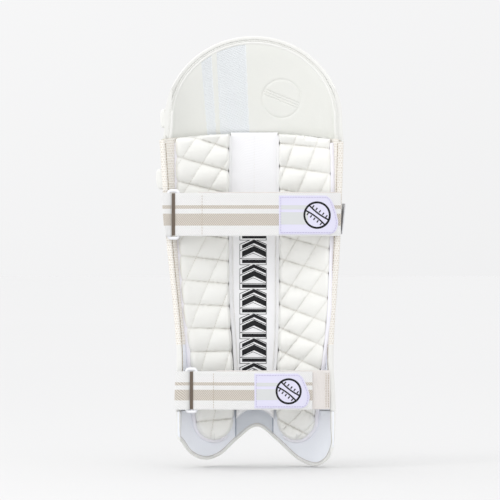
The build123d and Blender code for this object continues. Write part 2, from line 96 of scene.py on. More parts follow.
FACE = (0.0, 0.0)
LINING = (5.8 * MM, 19.7 * MM)
MESH = (6.4 * MM, 20.2 * MM)
PAD_FRONT = (7.0 * MM, 31.0 * MM)
BOLSTER_FRONT = (14.0 * MM, 45.5 * MM)
FLAP_LINING = (12.7 * MM, 16.7 * MM)


def through(points, t):
    """A smooth curve through (t, value) points, read at t."""
    t = min(max(t, points[0][0]), points[-1][0])
    index = max(i for i, point in enumerate(points[:-1]) if point[0] <= t)
    (t0, v0), (t1, v1) = points[index], points[index + 1]

    def slope(i):
        low, high = points[max(i - 1, 0)], points[min(i + 1, len(points) - 1)]
        return (high[1] - low[1]) / (high[0] - low[0])

    width = t1 - t0
    s = (t - t0) / width
    m0, m1 = slope(index) * width, slope(index + 1) * width
    return (
        v0 * (1 + 2 * s) * (1 - s) ** 2 + m0 * s * (1 - s) ** 2
        + v1 * s * s * (3 - 2 * s) + m1 * s * s * (s - 1)
    )


def shin_slice(z):
    """Middle x and half width of the shell's ellipse, and its y centre and depth."""
    left, right = through(LEFT_EDGE, z), through(RIGHT_EDGE, z)
    return (left + right) / 2, (right - left) / 2 / RIM_SINE, FACE_Y - SHIN_DEPTH, SHIN_DEPTH


def flap_slice(z):
    """The same for the knee flap, which is flatter and doesn't narrow."""
    half = (FLAP_RIGHT - FLAP_LEFT) / 2 / RIM_SINE
    return (FLAP_LEFT + FLAP_RIGHT) / 2, half, FACE_Y - FLAP_DEPTH, FLAP_DEPTH


def round_pad(angle, z, depth, part=shin_slice):
    """The place at an angle from straight ahead, in degrees, and a depth below the face."""
    middle, half, back, reach = part(z)
    turn = math.radians(angle)
    x = middle + (half - depth[0]) * math.sin(turn)
    return Vector((x, back + (reach - depth[1]) * math.cos(turn), z))


def behind(x, z, depth, part=shin_slice):
    """The place that shows at x and z when the pad is seen from behind."""
    middle, half, back, reach = part(z)
    share = min(max((x - middle) / (half - depth[0]), -0.9995), 0.9995)
    return Vector((x, back + (reach - depth[1]) * math.sqrt(1 - share * share), z))


def mix(low, high, share):
    """Part of the way from one depth to another."""
    return low[0] + (high[0] - low[0]) * share, low[1] + (high[1] - low[1]) * share


def knee_line(x, height):
    """The fold at the knee drops a little towards the rims."""
    return height - 0.025 * ((x + 0.005) / 0.2) ** 2


# %% [markdown]
# ## Tools of the bench
#
# A panel is a grid primitive whose corners run from 0 to 1. Moving each of its points to a place on the pad
# is what draping a cut piece does, and the grid's own UV map keeps the run of the cloth. Solidify gives the
# panel its thickness afterwards, so that its edges are real.

# %% Panels, modifiers and finishing
def panel(name, columns, rows, place, size=(1.0, 1.0)):
    """Adds a grid and lays it with place(u, v). Its UV map is size metres across and up."""
    deselect()
    bpy.ops.mesh.primitive_grid_add(x_subdivisions=columns, y_subdivisions=rows, size=1, location=(0, 0, 0))
    piece = bpy.context.object
    piece.name = piece.data.name = name
    for corner in piece.data.uv_layers.active.data:
        corner.uv = (corner.uv[0] * size[0], corner.uv[1] * size[1])
    for vertex in piece.data.vertices:
        vertex.co = place(vertex.co.x + 0.5, vertex.co.y + 0.5)
    return piece


def apply(piece, kind, **settings):
    """Adds a modifier with these settings and applies it."""
    deselect()
    piece.select_set(True)
    bpy.context.view_layer.objects.active = piece
    modifier = piece.modifiers.new(kind.title(), kind)
    for key, value in settings.items():
        setattr(modifier, key, value)
    bpy.ops.object.modifier_apply(modifier=modifier.name)
    return piece


def edit(piece, *steps):
    """Runs mesh operators on the whole of a piece in edit mode."""
    deselect()
    piece.select_set(True)
    bpy.context.view_layer.objects.active = piece
    bpy.ops.object.mode_set(mode="EDIT")
    bpy.ops.mesh.select_all(action="SELECT")
    for step in steps:
        step()
    bpy.ops.object.mode_set(mode="OBJECT")
    return piece


def smooth(piece, angle=40):
    """Soft shading, with creases kept where faces meet sharply."""
    deselect()
    piece.select_set(True)
    bpy.context.view_layer.objects.active = piece
    bpy.ops.object.shade_smooth_by_angle(angle=math.radians(angle))
    return piece


def weld():
    bpy.ops.mesh.remove_doubles(threshold=0.02 * MM)


def face_out():
    bpy.ops.mesh.normals_make_consistent(inside=False)


def thicken(piece, thickness, offset=0.0):
    """Gives a panel its thickness, with faces outwards."""
    apply(piece, "SOLIDIFY", thickness=thickness, offset=offset)
    return edit(piece, face_out)


def tube(name, around, along, place, size=(1.0, 1.0)):
    """A closed skin: u goes once round it and v along it, and its ends are gathered shut."""
    piece = panel(name, around, along, place, size)
    return edit(piece, weld, lambda: bpy.ops.mesh.fill_holes(sides=0), face_out)


def join(pieces, name):
    """Makes one object of several."""
    deselect()
    for piece in pieces:
        piece.select_set(True)
    bpy.context.view_layer.objects.active = pieces[0]
    if len(pieces) > 1:
        bpy.ops.object.join()
    pieces[0].name = pieces[0].data.name = name
    return pieces[0]


def dress(piece, body, material, slot, *stands_for):
    """Gives a piece its material and its body, and hides what it stands for. The slot argument is not used.
    """
    if not piece.data.materials:
        piece.data.materials.append(material)
    smooth(piece)
    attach(piece, body)
    if stands_for:
        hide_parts(*stands_for)
    print(piece.name, len(piece.data.polygons), "faces")
    return piece


# %% [markdown]
# ## Finishes
#
# Polyurethane leather is a smooth skin with a fine pebbled grain, so its bump is small cells at under a
# millimetre, its roughness wanders a little, and handling leaves faint warm marks. Woven and knitted cloth
# are patterns in the panel's own UV map, in metres, so that the weave follows the cloth round a bend.

# %% Shader helpers
def new_material(name, colour, roughness, **settings):
    """A Principled material. The settings are sockets of the shader."""
    material = bpy.data.materials.new(name)
    material.use_nodes = True
    shader = material.node_tree.nodes["Principled BSDF"]
    shader.inputs["Base Color"].default_value = (*colour, 1)
    shader.inputs["Roughness"].default_value = roughness
    for socket, value in settings.items():
        shader.inputs[socket.replace("_", " ")].default_value = value
    return material, material.node_tree, shader


def add_node(tree, kind, inputs=None, **settings):
    """Adds a node. Inputs are values or other nodes' sockets."""
    node = tree.nodes.new("ShaderNode" + kind)
    for key, value in settings.items():
        setattr(node, key, value)
    for socket, value in (inputs or {}).items():
        if isinstance(value, bpy.types.NodeSocket):
            tree.links.new(value, node.inputs[socket])
        else:
            node.inputs[socket].default_value = value
    return node


def math_node(tree, operation, first, second=0.0, third=0.0):
    """A Math node's output."""
    return add_node(tree, "Math", {0: first, 1: second, 2: third}, operation=operation).outputs[0]


def blend_colour(tree, share, low, high):
    """Mixes two colours by a share between 0 and 1."""
    node = tree.nodes.new("ShaderNodeMix")
    node.data_type = "RGBA"
    for index, value in ((0, share), (6, low), (7, high)):
        if isinstance(value, bpy.types.NodeSocket):
            tree.links.new(value, node.inputs[index])
        elif index == 0:
            node.inputs[index].default_value = value
        else:
            node.inputs[index].default_value = (*value, 1)
    return node.outputs[2]


def bump(tree, shader, height, distance, strength=1.0, below=None):
    """Adds a height map to the shader's normal, over another one if given."""
    inputs = {"Height": height, "Distance": distance, "Strength": strength}
    if below is not None:
        inputs["Normal"] = below
    normal = add_node(tree, "Bump", inputs).outputs["Normal"]
    tree.links.new(normal, shader.inputs["Normal"])
    return normal


# %% Leather-cloth in its colours
def leather(name, colour, roughness=0.42, grain=900.0, depth=0.10 * MM, wear=(0.80, 0.76, 0.66), dirt=0.10):
    """Coated cloth: a pebble grain, soft creases and faint marks of handling."""
    material, tree, shader = new_material(name, colour, roughness, Specular_IOR_Level=0.4, Sheen_Weight=0.05)
    place = add_node(tree, "TexCoord").outputs["Object"]
    pebbles = add_node(tree, "TexVoronoi", {"Vector": place, "Scale": grain}, feature="SMOOTH_F1")
    creases = add_node(tree, "TexNoise", {"Vector": place, "Scale": 160.0, "Detail": 4.0, "Roughness": 0.6})
    marks = add_node(tree, "TexNoise", {"Vector": place, "Scale": 14.0, "Detail": 6.0, "Roughness": 0.7})
    spread = add_node(tree, "MapRange", {"Value": marks.outputs[0], 1: 0.5, 2: 0.85, 3: 0.0,
                                         4: dirt}).outputs[0]
    tree.links.new(blend_colour(tree, spread, colour, wear), shader.inputs["Base Color"])
    gloss = add_node(tree, "MapRange", {"Value": creases.outputs[0], 1: 0.3, 2: 0.7, 3: roughness - 0.06,
                                        4: roughness + 0.10}).outputs[0]
    tree.links.new(gloss, shader.inputs["Roughness"])
    fine = bump(tree, shader, pebbles.outputs["Distance"], depth, 0.5)
    bump(tree, shader, creases.outputs[0], 0.5 * MM, 0.25, fine)
    return material


WHITE = leather("white_leather", (0.80, 0.80, 0.775))
QUILT = leather("quilted_leather", (0.87, 0.87, 0.84), roughness=0.46)
FLAP = leather("flap_leather", (0.75, 0.755, 0.72), roughness=0.5)
PRESSED = leather("pressed_leather", (0.755, 0.78, 0.795), roughness=0.55, dirt=0.03)
LINING_SKIN = leather("cool_lining_leather", (0.85, 0.875, 0.93), roughness=0.5, grain=1200, dirt=0.04)
CENTRE_SKIN = leather("centre_leather", (0.885, 0.885, 0.90), roughness=0.4, dirt=0.05)
GREY_SKIN = leather("grey_leather", (0.74, 0.75, 0.78), roughness=0.55)
LILAC = leather("lilac_leather", (0.725, 0.71, 0.86), roughness=0.35, grain=1400, dirt=0.03)
INLAY = leather("inlay_leather", (0.66, 0.675, 0.68), roughness=0.4, grain=1400, dirt=0.03)
TAPE = leather("lilac_tape", (0.88, 0.87, 0.93), roughness=0.5, grain=1600, dirt=0.03)


def paint_crease_shade(material, attribute, shade):
    """Paints shade into a finish: darkens its colour where the piece's own attribute marks a quilting seam.
    """
    tree = material.node_tree
    colour = tree.nodes["Principled BSDF"].inputs["Base Color"]
    pinch_and_shade = add_node(tree, "Attribute", attribute_name=attribute).outputs["Fac"]
    tree.links.new(blend_colour(tree, pinch_and_shade, colour.links[0].from_socket, shade), colour)


# Painted shade: the quilt's colour turns darker along its seams, where a crease would lie in shade.
paint_crease_shade(QUILT, "crease_shade_mask", (0.765, 0.755, 0.715))


# %% Printed ink, thread, moulded plastic, foam and cane
def simple(name, colour, roughness, scale, depth, variation=0.12, **settings):
    """A finish whose colour wanders a little and whose surface has one fine texture."""
    material, tree, shader = new_material(name, colour, roughness, **settings)
    place = add_node(tree, "TexCoord").outputs["Object"]
    cloud = add_node(tree, "TexNoise", {"Vector": place, "Scale": scale, "Detail": 5.0})
    darker = tuple(channel * (1 - variation) for channel in colour)
    tree.links.new(blend_colour(tree, cloud.outputs[0], darker, colour), shader.inputs["Base Color"])
    bump(tree, shader, cloud.outputs[0], depth, 0.4)
    return material


INK = simple("black_print", (0.012, 0.012, 0.014), 0.65, 900, 0.05 * MM, Specular_IOR_Level=0.25)
WHITE_THREAD = simple("white_thread", (0.86, 0.85, 0.82), 0.7, 2500, 0.1 * MM)
ECRU_THREAD = simple("ecru_thread", (0.70, 0.67, 0.60), 0.75, 2500, 0.1 * MM)
TAN_THREAD = simple("tan_thread", (0.52, 0.44, 0.34), 0.75, 2500, 0.1 * MM)
PLASTIC = simple("ring_plastic", (0.88, 0.89, 0.92), 0.28, 300, 0.02 * MM, variation=0.03,
                 Specular_IOR_Level=0.5)
FOAM = simple("foam_core", (0.80, 0.76, 0.62), 0.9, 1200, 0.4 * MM)
STIFF = simple("stiffener_board", (0.78, 0.78, 0.78), 0.5, 500, 0.05 * MM)
CANE = simple("cane", (0.55, 0.38, 0.17), 0.5, 700, 0.2 * MM, variation=0.35)


# %% Webbing: a diagonal twill with a narrow and a wide stripe
def webbing(name, stripes):
    """Twill ribs cross the tape at a slant. The stripes lie along it, as shares of its width from the top."""
    base, taupe = (0.86, 0.86, 0.855) if stripes else (0.915, 0.915, 0.935), (0.47, 0.40, 0.32)
    material, tree, shader = new_material(name, base, 0.8, Sheen_Weight=0.15, Sheen_Roughness=0.5)
    uv = add_node(tree, "UVMap").outputs[0]
    apart = add_node(tree, "SeparateXYZ", {0: uv})
    along, across = apart.outputs[0], apart.outputs[1]
    slant = math_node(tree, "MULTIPLY_ADD", across, 0.75, along)
    ribs = math_node(tree, "SINE", math_node(tree, "MULTIPLY", slant, 2 * math.pi / (2.9 * MM)))
    threads = math_node(tree, "SINE", math_node(tree, "MULTIPLY", across, 2 * math.pi / (1.0 * MM)))
    weave = math_node(tree, "MULTIPLY_ADD", threads, 0.35, ribs)
    fuzz = add_node(tree, "TexNoise", {"Vector": uv, "Scale": 2200.0, "Detail": 3.0}).outputs[0]
    height = math_node(tree, "MULTIPLY_ADD", fuzz, 0.8, weave)
    shade = add_node(tree, "MapRange", {"Value": height, 1: -1.2, 2: 1.8, 3: 0.0, 4: 1.0}).outputs[0]
    colour = blend_colour(tree, shade, tuple(c * (0.90 if stripes else 0.97) for c in base), base)
    if stripes:
        inside = None
        for low, high in ((0.283, 0.37), (0.478, 0.762)):
            reach = (high - low) / 2
            from_middle = math_node(tree, "SUBTRACT", across, (low + high) / 2 * stripes)
            away = math_node(tree, "ABSOLUTE", from_middle)
            stripe = add_node(tree, "MapRange", {"Value": away, 1: reach * stripes,
                                                 2: reach * stripes - 0.35 * MM, 3: 0.0, 4: 1.0}).outputs[0]
            inside = stripe if inside is None else math_node(tree, "ADD", inside, stripe)
        dark = blend_colour(tree, shade, tuple(c * 0.78 for c in taupe), (0.79, 0.75, 0.69))
        colour = blend_colour(tree, inside, colour, dark)
    tree.links.new(colour, shader.inputs["Base Color"])
    bump(tree, shader, height, (0.22 if stripes else 0.04) * MM, 0.8)
    return material


STRAP_WIDTH = {"upper": 0.064, "lower": 0.057}
STRIPED = {side: webbing(side + "_striped_webbing", width) for side, width in STRAP_WIDTH.items()}
PLAIN = webbing("plain_elastic", 0)


# %% Knitted spacer mesh and loop pile
def knit(name, colour, hole, across, up, hole_depth):
    """Rows of small holes, every second row shifted by half a step."""
    material, tree, shader = new_material(name, colour, 0.9, Sheen_Weight=0.25, Sheen_Roughness=0.4)
    uv = add_node(tree, "UVMap").outputs[0]
    apart = add_node(tree, "SeparateXYZ", {0: uv})
    column = math_node(tree, "MULTIPLY", apart.outputs[0], 1 / across)
    row = math_node(tree, "MULTIPLY", apart.outputs[1], 1 / up)
    odd = math_node(tree, "MULTIPLY", math_node(tree, "MODULO", math_node(tree, "FLOOR", row), 2.0), 0.5)
    x = math_node(tree, "SUBTRACT", math_node(tree, "FRACT", math_node(tree, "ADD", column, odd)), 0.5)
    y = math_node(tree, "SUBTRACT", math_node(tree, "FRACT", row), 0.5)
    reach = math_node(tree, "SQRT", math_node(tree, "ADD", math_node(tree, "MULTIPLY", x, x),
                                              math_node(tree, "MULTIPLY", y, y)))
    rim = add_node(tree, "MapRange", {"Value": reach, 1: 0.14, 2: 0.40, 3: 0.0, 4: 1.0},
                   interpolation_type="SMOOTHSTEP").outputs[0]
    fuzz = add_node(tree, "TexNoise", {"Vector": uv, "Scale": 1800.0, "Detail": 4.0}).outputs[0]
    soft = add_node(tree, "MapRange", {"Value": fuzz, 1: 0.3, 2: 0.7, 3: 0.82, 4: 1.0}).outputs[0]
    shade = math_node(tree, "MULTIPLY", rim, soft)
    tree.links.new(blend_colour(tree, shade, hole, colour), shader.inputs["Base Color"])
    bump(tree, shader, math_node(tree, "MULTIPLY_ADD", fuzz, 0.3, rim), hole_depth, 0.9)
    return material


SPACER = knit("spacer_mesh", (0.94, 0.915, 0.865), (0.81, 0.745, 0.66), 4.4 * MM, 3.8 * MM, 0.9 * MM)
PILE = knit("loop_pile", (0.90, 0.865, 0.84), (0.78, 0.72, 0.68), 1.1 * MM, 1.0 * MM, 0.4 * MM)

# %% [markdown]
# ## Core, covers and linings
#
# The shell of a pad is a sandwich: leather-cloth on the face, a slab of moulded foam, and a lining. The
# foam can't be seen on a finished pad, but it gives every edge its thickness. Each layer is a closed slab
# between two depths.

# %% Slabs
def slab(name, columns, rows, angles, heights, depths, part=shin_slice):
    """A closed layer between two angles, two depths and, at each x, the two heights that heights(x) gives."""
    loop = [(i / columns, 1) for i in range(columns + 1)] + [(1 - i / columns, 0) for i in range(columns + 1)]
    loop.append(loop[0])
    middle = sum(heights(0.0)) / 2

    def place(u, v):
        share, face = loop[round(u * (len(loop) - 1))]
        angle = angles[0] + (angles[1] - angles[0]) * share
        depth = depths[face] if 0.001 < v < 0.999 else mix(*depths, 0.5)
        low, high = heights(round_pad(angle, middle, depth, part).x)
        return round_pad(angle, low + (high - low) * v, depth, part)

    return tube(name, len(loop) - 1, rows, place, (0.4, 0.4))


def shin_heights(x):
    return INSTEP + FOLD_GAP, knee_line(x, KNEE - FOLD_GAP)


OUTLINE = [(-127.0, 68.0), (-119.5, 52.0), (-111.6, 38.6), (-96.8, 17.9), (-73.8, 8.7), (-50.0, 16.5),
           (-25.5, 38.6), (3.2, 57.6), (32.0, 37.0), (62.0, 10.0), (89.3, 0.0), (107.5, 8.5),
           (117.2, 28.0), (122.5, 42.0), (129.0, 60.0)]
OUTLINE = [(x * MM, z * MM) for x, z in OUTLINE]
HEM = 6.8 * MM


def instep_heights(x):
    return through(OUTLINE, x) + HEM, INSTEP - FOLD_GAP


DOME_MIDDLE, DOME_HALF = (FLAP_LEFT + FLAP_RIGHT) / 2, (FLAP_RIGHT - FLAP_LEFT) / 2
SHOULDER = KNEE + 0.020
DOME_HEIGHT = CROWN - SHOULDER
FLAP_HEM = 6.5 * MM


def dome_top(x, inset):
    share = min(abs(x - DOME_MIDDLE) / (DOME_HALF - inset), 1.0)
    return SHOULDER + (DOME_HEIGHT - inset) * math.sqrt(1 - share * share)


def flap_heights(x):
    return knee_line(x, KNEE + FOLD_GAP), dome_top(x, FLAP_HEM)


def under(heights, top, bottom=0.0):
    """The same two heights, with room for a tape at the top or the bottom."""
    return lambda x: (heights(x)[0] + bottom, heights(x)[1] - top)


TAPE_ROOM = 0.9 * MM


def edge_tape(name, reach, level, depths, body, part=shin_slice):
    """A tape that closes the raw edge of the foam, from the cover to the lining."""

    def place(u, v):
        angle = -reach + 2 * reach * u
        depth = mix(*depths, v)
        spot = round_pad(angle, level(0.0), depth, part)
        return Vector((spot.x, spot.y, level(spot.x)))

    piece = panel(name, 90, 8, place, (0.4, 0.02))
    thicken(piece, 0.5 * MM)
    return dress(piece, body, WHITE, "white_pu")


EDGE, INSTEP_EDGE, FLAP_EDGE = RIM - 0.6, 79, 73
WING_SEAM = 49.6
COVER_DEPTHS = ((0, 0), (1.2 * MM, 1.5 * MM))
CORE_DEPTHS = ((1.3 * MM, 1.7 * MM), (4.6 * MM, 18 * MM))
LINING_DEPTHS = ((4.8 * MM, 18.2 * MM), LINING)
FLAP_COVER_DEPTHS = ((0, 0), (1.4 * MM, 1.4 * MM))
FLAP_CORE_DEPTHS = ((3.4 * MM, 3.4 * MM), (11 * MM, 15 * MM))
SHELL_DEPTHS = ((0.8 * MM, 1.0 * MM), (5.6 * MM, 19.4 * MM))
FLAP_TAPE_DEPTHS = ((0.8 * MM, 0.8 * MM), (12.2 * MM, 16.2 * MM))

cover = slab("front_cover_skin", 90, 60, (-EDGE, EDGE), shin_heights, COVER_DEPTHS)
dress(cover, "shin_shell", WHITE, "white_pu", "front_cover")
core_heights = under(shin_heights, TAPE_ROOM, TAPE_ROOM)
core = slab("shin_core", 60, 30, (-EDGE, EDGE), core_heights, CORE_DEPTHS)
dress(core, "shin_shell", FOAM, "foam", "shin_foam")
lining = slab("shin_lining_skin", 60, 60, (-49.9, 49.9), shin_heights, LINING_DEPTHS)
dress(lining, "shin_shell", WHITE, "lining_pu", "shin_lining")

# %% The same layers for the instep and the knee flap
reach = (-INSTEP_EDGE, INSTEP_EDGE)
toe = slab("instep_cover_skin", 110, 12, reach, instep_heights, COVER_DEPTHS)
dress(toe, "instep_flap", WHITE, "white_pu", "instep_cover")
toe = slab("instep_core", 110, 8, reach, under(instep_heights, TAPE_ROOM), CORE_DEPTHS)
dress(toe, "instep_flap", FOAM, "foam", "instep_foam")
reach = (-FLAP_EDGE, FLAP_EDGE)
hood = slab("top_flap_skin", 110, 40, reach, flap_heights, FLAP_COVER_DEPTHS, flap_slice)
dress(hood, "top_flap", WHITE, "white_pu", "top_flap_cover")
reach = (1 - FLAP_EDGE, FLAP_EDGE - 1)
hood = slab("top_flap_core", 90, 20, reach, under(flap_heights, 0.0, TAPE_ROOM), FLAP_CORE_DEPTHS, flap_slice)
dress(hood, "top_flap", FOAM, "foam", "top_flap_foam")


# %% Tapes over the raw edges at the folds
TAPE_DOWN = FOLD_GAP + 0.35 * MM
edge_tape("knee_edge_tape", EDGE, lambda x: knee_line(x, KNEE - TAPE_DOWN), SHELL_DEPTHS, "shin_shell")
edge_tape("ankle_edge_tape", EDGE, lambda x: INSTEP + TAPE_DOWN, SHELL_DEPTHS, "shin_shell")
edge_tape("instep_edge_tape", INSTEP_EDGE, lambda x: INSTEP - TAPE_DOWN, SHELL_DEPTHS, "instep_flap")
edge_tape("flap_edge_tape", FLAP_EDGE, lambda x: knee_line(x, KNEE + TAPE_DOWN), FLAP_TAPE_DEPTHS, "top_flap",
          flap_slice)

# %% [markdown]
# ## Mesh wings
#
# Behind each bolster the wall is lined with spacer mesh, which lets the leg breathe. It is pulled taut over
# the wall and bound over the rim, and the binding's seam draws it into small tucks.

# %% Mesh and side linings
MESH_FROM = 0.183


def wing(side, low, depth, name, material, pieces, slot):
    """One side panel of the lining, from its seam to the rim, with tucks along the rim."""

    def place(u, v):
        angle = WING_SEAM + (EDGE - WING_SEAM) * u
        bottom, top = low
        spot = round_pad(side * angle, 0.3, depth)
        z = bottom + ((knee_line(spot.x, KNEE - FOLD_GAP) if top is None else top) - bottom) * v
        tuck = 0.5 * MM * math.exp(-(1 - u) * 12) * noise.noise(Vector((z / (6 * MM), side, u)))
        return round_pad(side * angle, z, (depth[0] + tuck, depth[1] + tuck))

    piece = panel(name, 40, 160, place, (0.045, 0.31))
    thicken(piece, 0.9 * MM)
    return dress(piece, "shin_shell", material, slot, *pieces)


for side, word in ((-1, "left"), (1, "right")):
    wing(side, (MESH_FROM, None), MESH, word + "_wing", SPACER, [word + "_wing_mesh"], "spacer_mesh")
    wing(side, (INSTEP + FOLD_GAP, MESH_FROM), LINING, word + "_side", LINING_SKIN, [word + "_side_lining"],
         "lining_pu")


# %% [markdown]
# ## Bindings
#
# A binding is a strip folded over a raw edge and sewn through. Filled with the shell's edge it becomes a
# rounded bar. The rim's is mesh down to the ankle and leather-cloth below it.

# %% [markdown]
# ## Cords and thread
#
# A cord is a tube along a list of points. A row of stitches could be a dashed texture, but then it would
# lie flat in a close view. Here it is a real thread that dips into the cloth between stitches, with only
# five sides, because there are hundreds of stitches.

# %% Rounded bars and cords
BAR_DEPTHS = ((-0.8 * MM, -0.8 * MM), (7.2 * MM, 20.9 * MM))


def bead(share, power=0.6):
    """Goes once round a square with round corners, from -1 to 1 each way."""
    turn = 2 * math.pi * share
    p, q = math.cos(turn), math.sin(turn)
    return math.copysign(abs(p) ** power, p), math.copysign(abs(q) ** power, q)


def rim_bar(side, low, high, name, material, slot):
    """The binding over one rim, between two heights."""

    def place(u, v):
        p, q = bead(u)
        angle = side * (81.8 + 2.1 * p)
        depth = mix(*BAR_DEPTHS, (q + 1) / 2)
        top = knee_line(side * 0.137, KNEE - FOLD_GAP) if high is None else high
        z = low + (top - low) * v
        pinch_and_shade = 0.25 * MM * noise.noise(Vector((z / (7 * MM), side * 3, p)))
        return round_pad(angle, z, (depth[0] + pinch_and_shade, depth[1]))

    piece = tube(name, 28, 200, place, (0.034, (high or KNEE) - low))
    return dress(piece, "shin_shell", material, slot, name.split("_rim")[0] + "_rim_binding")


def cord(name, points, radius, around=8, flat=1.0):
    """A round cord through a list of points. Flat below 1 squashes it towards the pad."""

    def place(u, v):
        index = round(v * (len(points) - 1))
        before, after = points[max(index - 1, 0)], points[min(index + 1, len(points) - 1)]
        along = (after - before).normalized()
        side = along.cross(Vector((0, -1, 0)))
        side = side.normalized() if side.length > 1e-4 else Vector((1, 0, 0))
        out = side.cross(along)
        turn = 2 * math.pi * u
        return points[index] + radius * (side * math.cos(turn) + out * (math.sin(turn) * flat))

    length = sum((b - a).length for a, b in zip(points, points[1:]))
    return tube(name, around, len(points) - 1, place, (2 * math.pi * radius, length))


def evenly(curve, step):
    """Points along curve(t), t from 0 to 1, about step apart."""
    rough = [curve(i / 400) for i in range(401)]
    reach = [0.0]
    for a, b in zip(rough, rough[1:]):
        reach.append(reach[-1] + (b - a).length)
    count = max(2, round(reach[-1] / step))
    points, at = [], 0
    for number in range(count + 1):
        goal = reach[-1] * number / count
        while at < 399 and reach[at + 1] < goal:
            at += 1
        span = reach[at + 1] - reach[at]
        share = min(max((goal - reach[at]) / span, 0.0), 1.0) if span else 0.0
        points.append(rough[at].lerp(rough[at + 1], share))
    return points


LIFTS = (-0.9, 0.25, 0.55, 0.55, 0.25, -0.9)


def thread(name, curve, out, stitch=4.5 * MM, radius=0.4 * MM):
    """Sewing along curve(t): the thread dips through the cloth and comes up once a stitch."""
    points = evenly(curve, stitch / len(LIFTS))
    lifted = [point + out(point) * (LIFTS[i % len(LIFTS)] * radius * 2) for i, point in enumerate(points)]
    return cord(name, lifted, radius, around=5)


def towards_viewer(point):
    return Vector((0, -1, 0))


for side, word in ((-1, "left"), (1, "right")):
    rim_bar(side, MESH_FROM, None, word + "_rim_mesh_binding", SPACER, "binding_tape")
    rim_bar(side, INSTEP + FOLD_GAP, MESH_FROM, word + "_rim_skin_binding", WHITE, "binding_tape")

    def seam(t, side=side):
        z = INSTEP + 0.002 + (KNEE - 0.018 - INSTEP) * t
        return round_pad(side * 78.9, z, (6.9 * MM, 20.6 * MM))

    sewn = thread(word + "_rim_seam", seam, towards_viewer, radius=0.55 * MM)
    dress(sewn, "shin_shell", TAN_THREAD, "binding_tape")


# %% [markdown]
# ## Ribs and knee rolls
#
# Seven stuffed channels run down the striking face, each over a cane. Across the knee lie thick rolls. They
# are D-shaped in section, because the cover is sewn down flat along both edges, and their ends are
# gathered.

# %% Stuffed channels
def gather(share, length, run):
    """How full a roll is near its ends: nothing at the end, full once run metres in."""
    away = min(share, 1 - share) * length
    return math.sqrt(max(0.0, 1 - (1 - min(away / run, 1.0)) ** 2))


def rib(name, angle, low, high, front, body, slot, node):
    """A channel that runs up the face."""

    def place(u, v):
        p, q = bead(u, 0.8)
        z = low + (high - low) * v
        full = gather(v, high - low, 9 * MM)
        ripple = 1 + 0.05 * noise.noise(Vector((angle, z / 0.03, p)))
        share = (q + 1) / 2 * full * ripple
        wide = 7.6 * (0.55 + 0.45 * full) * p
        return round_pad(angle + wide, z, mix((-0.3 * MM, -0.3 * MM), (front, front), share))

    piece = tube(name, 26, 110, place, (0.07, high - low))
    return dress(piece, body, WHITE, slot, node)


for number in range(7):
    rib(f"rib_{number + 1}", 18.0 * (number - 3), 0.095, 0.408, -12 * MM, "shin_shell", "white_pu",
        f"face_rib_{number + 1}")


for number in range(8):

    def between_ribs(t, angle=18.0 * (number - 3.5)):
        return round_pad(angle, 0.097 + 0.309 * t, FACE)

    sewn = thread(f"rib_seam_{number + 1}", between_ribs, lambda point: Vector((0, 1, 0)))
    dress(sewn, "shin_shell", WHITE_THREAD, "white_pu")


# %% Knee rolls
ROLL_END = 62
ROLL_FRONT, FLAP_ROLL_FRONT = (-15 * MM, -17 * MM), (-11 * MM, -13 * MM)


def roll(name, low, high, start, front, body, part, slot, node, ceiling=0):
    """A roll that runs across the face, from an angle to ROLL_END. It stays below a ceiling that droops."""
    wide = abs(start - ROLL_END) / 57.3 * 0.11

    def place(u, v):
        p, q = bead(u, 0.72)
        angle = start + (ROLL_END - start) * v
        full = gather(v, wide, 10 * MM)
        spot = round_pad(angle, low, (0, 0), part)
        top = min(high, knee_line(spot.x, ceiling)) if ceiling else high
        middle, half = (low + top) / 2, (top - low) / 2
        ripple = 1 + 0.06 * noise.noise(Vector((angle / 7, p, low * 40)))
        share = (q + 1) / 2 * (0.15 + 0.85 * full) * ripple
        height = middle + half * p * (0.75 + 0.25 * full)
        return round_pad(angle, height, mix((-0.6 * MM,) * 2, front, share), part)

    piece = tube(name, 30, 130, place, (0.09, wide))
    return dress(piece, body, WHITE, slot, node)


roll("low_roll", 0.415, 0.446, -78, ROLL_FRONT, "shin_shell", shin_slice, "white_pu", "low_knee_roll")
roll("high_roll", 0.452, 0.499, -64, ROLL_FRONT, "shin_shell", shin_slice, "white_pu", "high_knee_roll",
     ceiling=0.4992)
roll("flap_roll", 0.508, 0.537, -78, FLAP_ROLL_FRONT, "top_flap", flap_slice, "flap_pu", "top_flap_roll")

# %% [markdown]
# ## Quilted bolsters
#
# The bolsters rest on the shin. Each is a long cushion quilted in two crossing families of seams, so that
# it is all soft pillows of about 34 mm. Near a seam the cloth puckers, because the thread takes up some of
# its length. The lines fan out a little, as they do when a flat quilted cloth is cut and bent to the leg.

# %% Where the seams run
TIP, TIP_REACH, BOLSTER_TOP = 0.072, 0.034, 0.5005
BOLSTERS = {
    "left": (
        [(0.072, -0.0905), (0.172, -0.0995), (0.25, -0.1095), (0.412, -0.1185), (0.485, -0.1195),
         (0.51, -0.118)],
        [(0.072, -0.0315), (0.13, -0.0315), (0.19, -0.0345), (0.262, -0.0375), (0.51, -0.0375)],
    ),
    "right": (
        [(0.072, 0.032), (0.12, 0.0315), (0.172, 0.0335), (0.25, 0.035), (0.51, 0.035)],
        [(0.072, 0.0915), (0.12, 0.097), (0.172, 0.104), (0.25, 0.1105), (0.412, 0.115), (0.485, 0.114),
         (0.51, 0.1105)],
    ),
}
BOLSTER_BACK = (7.4 * MM, 21.2 * MM)
STEEP_SHARE = {"left": 0.45, "right": 0.65}


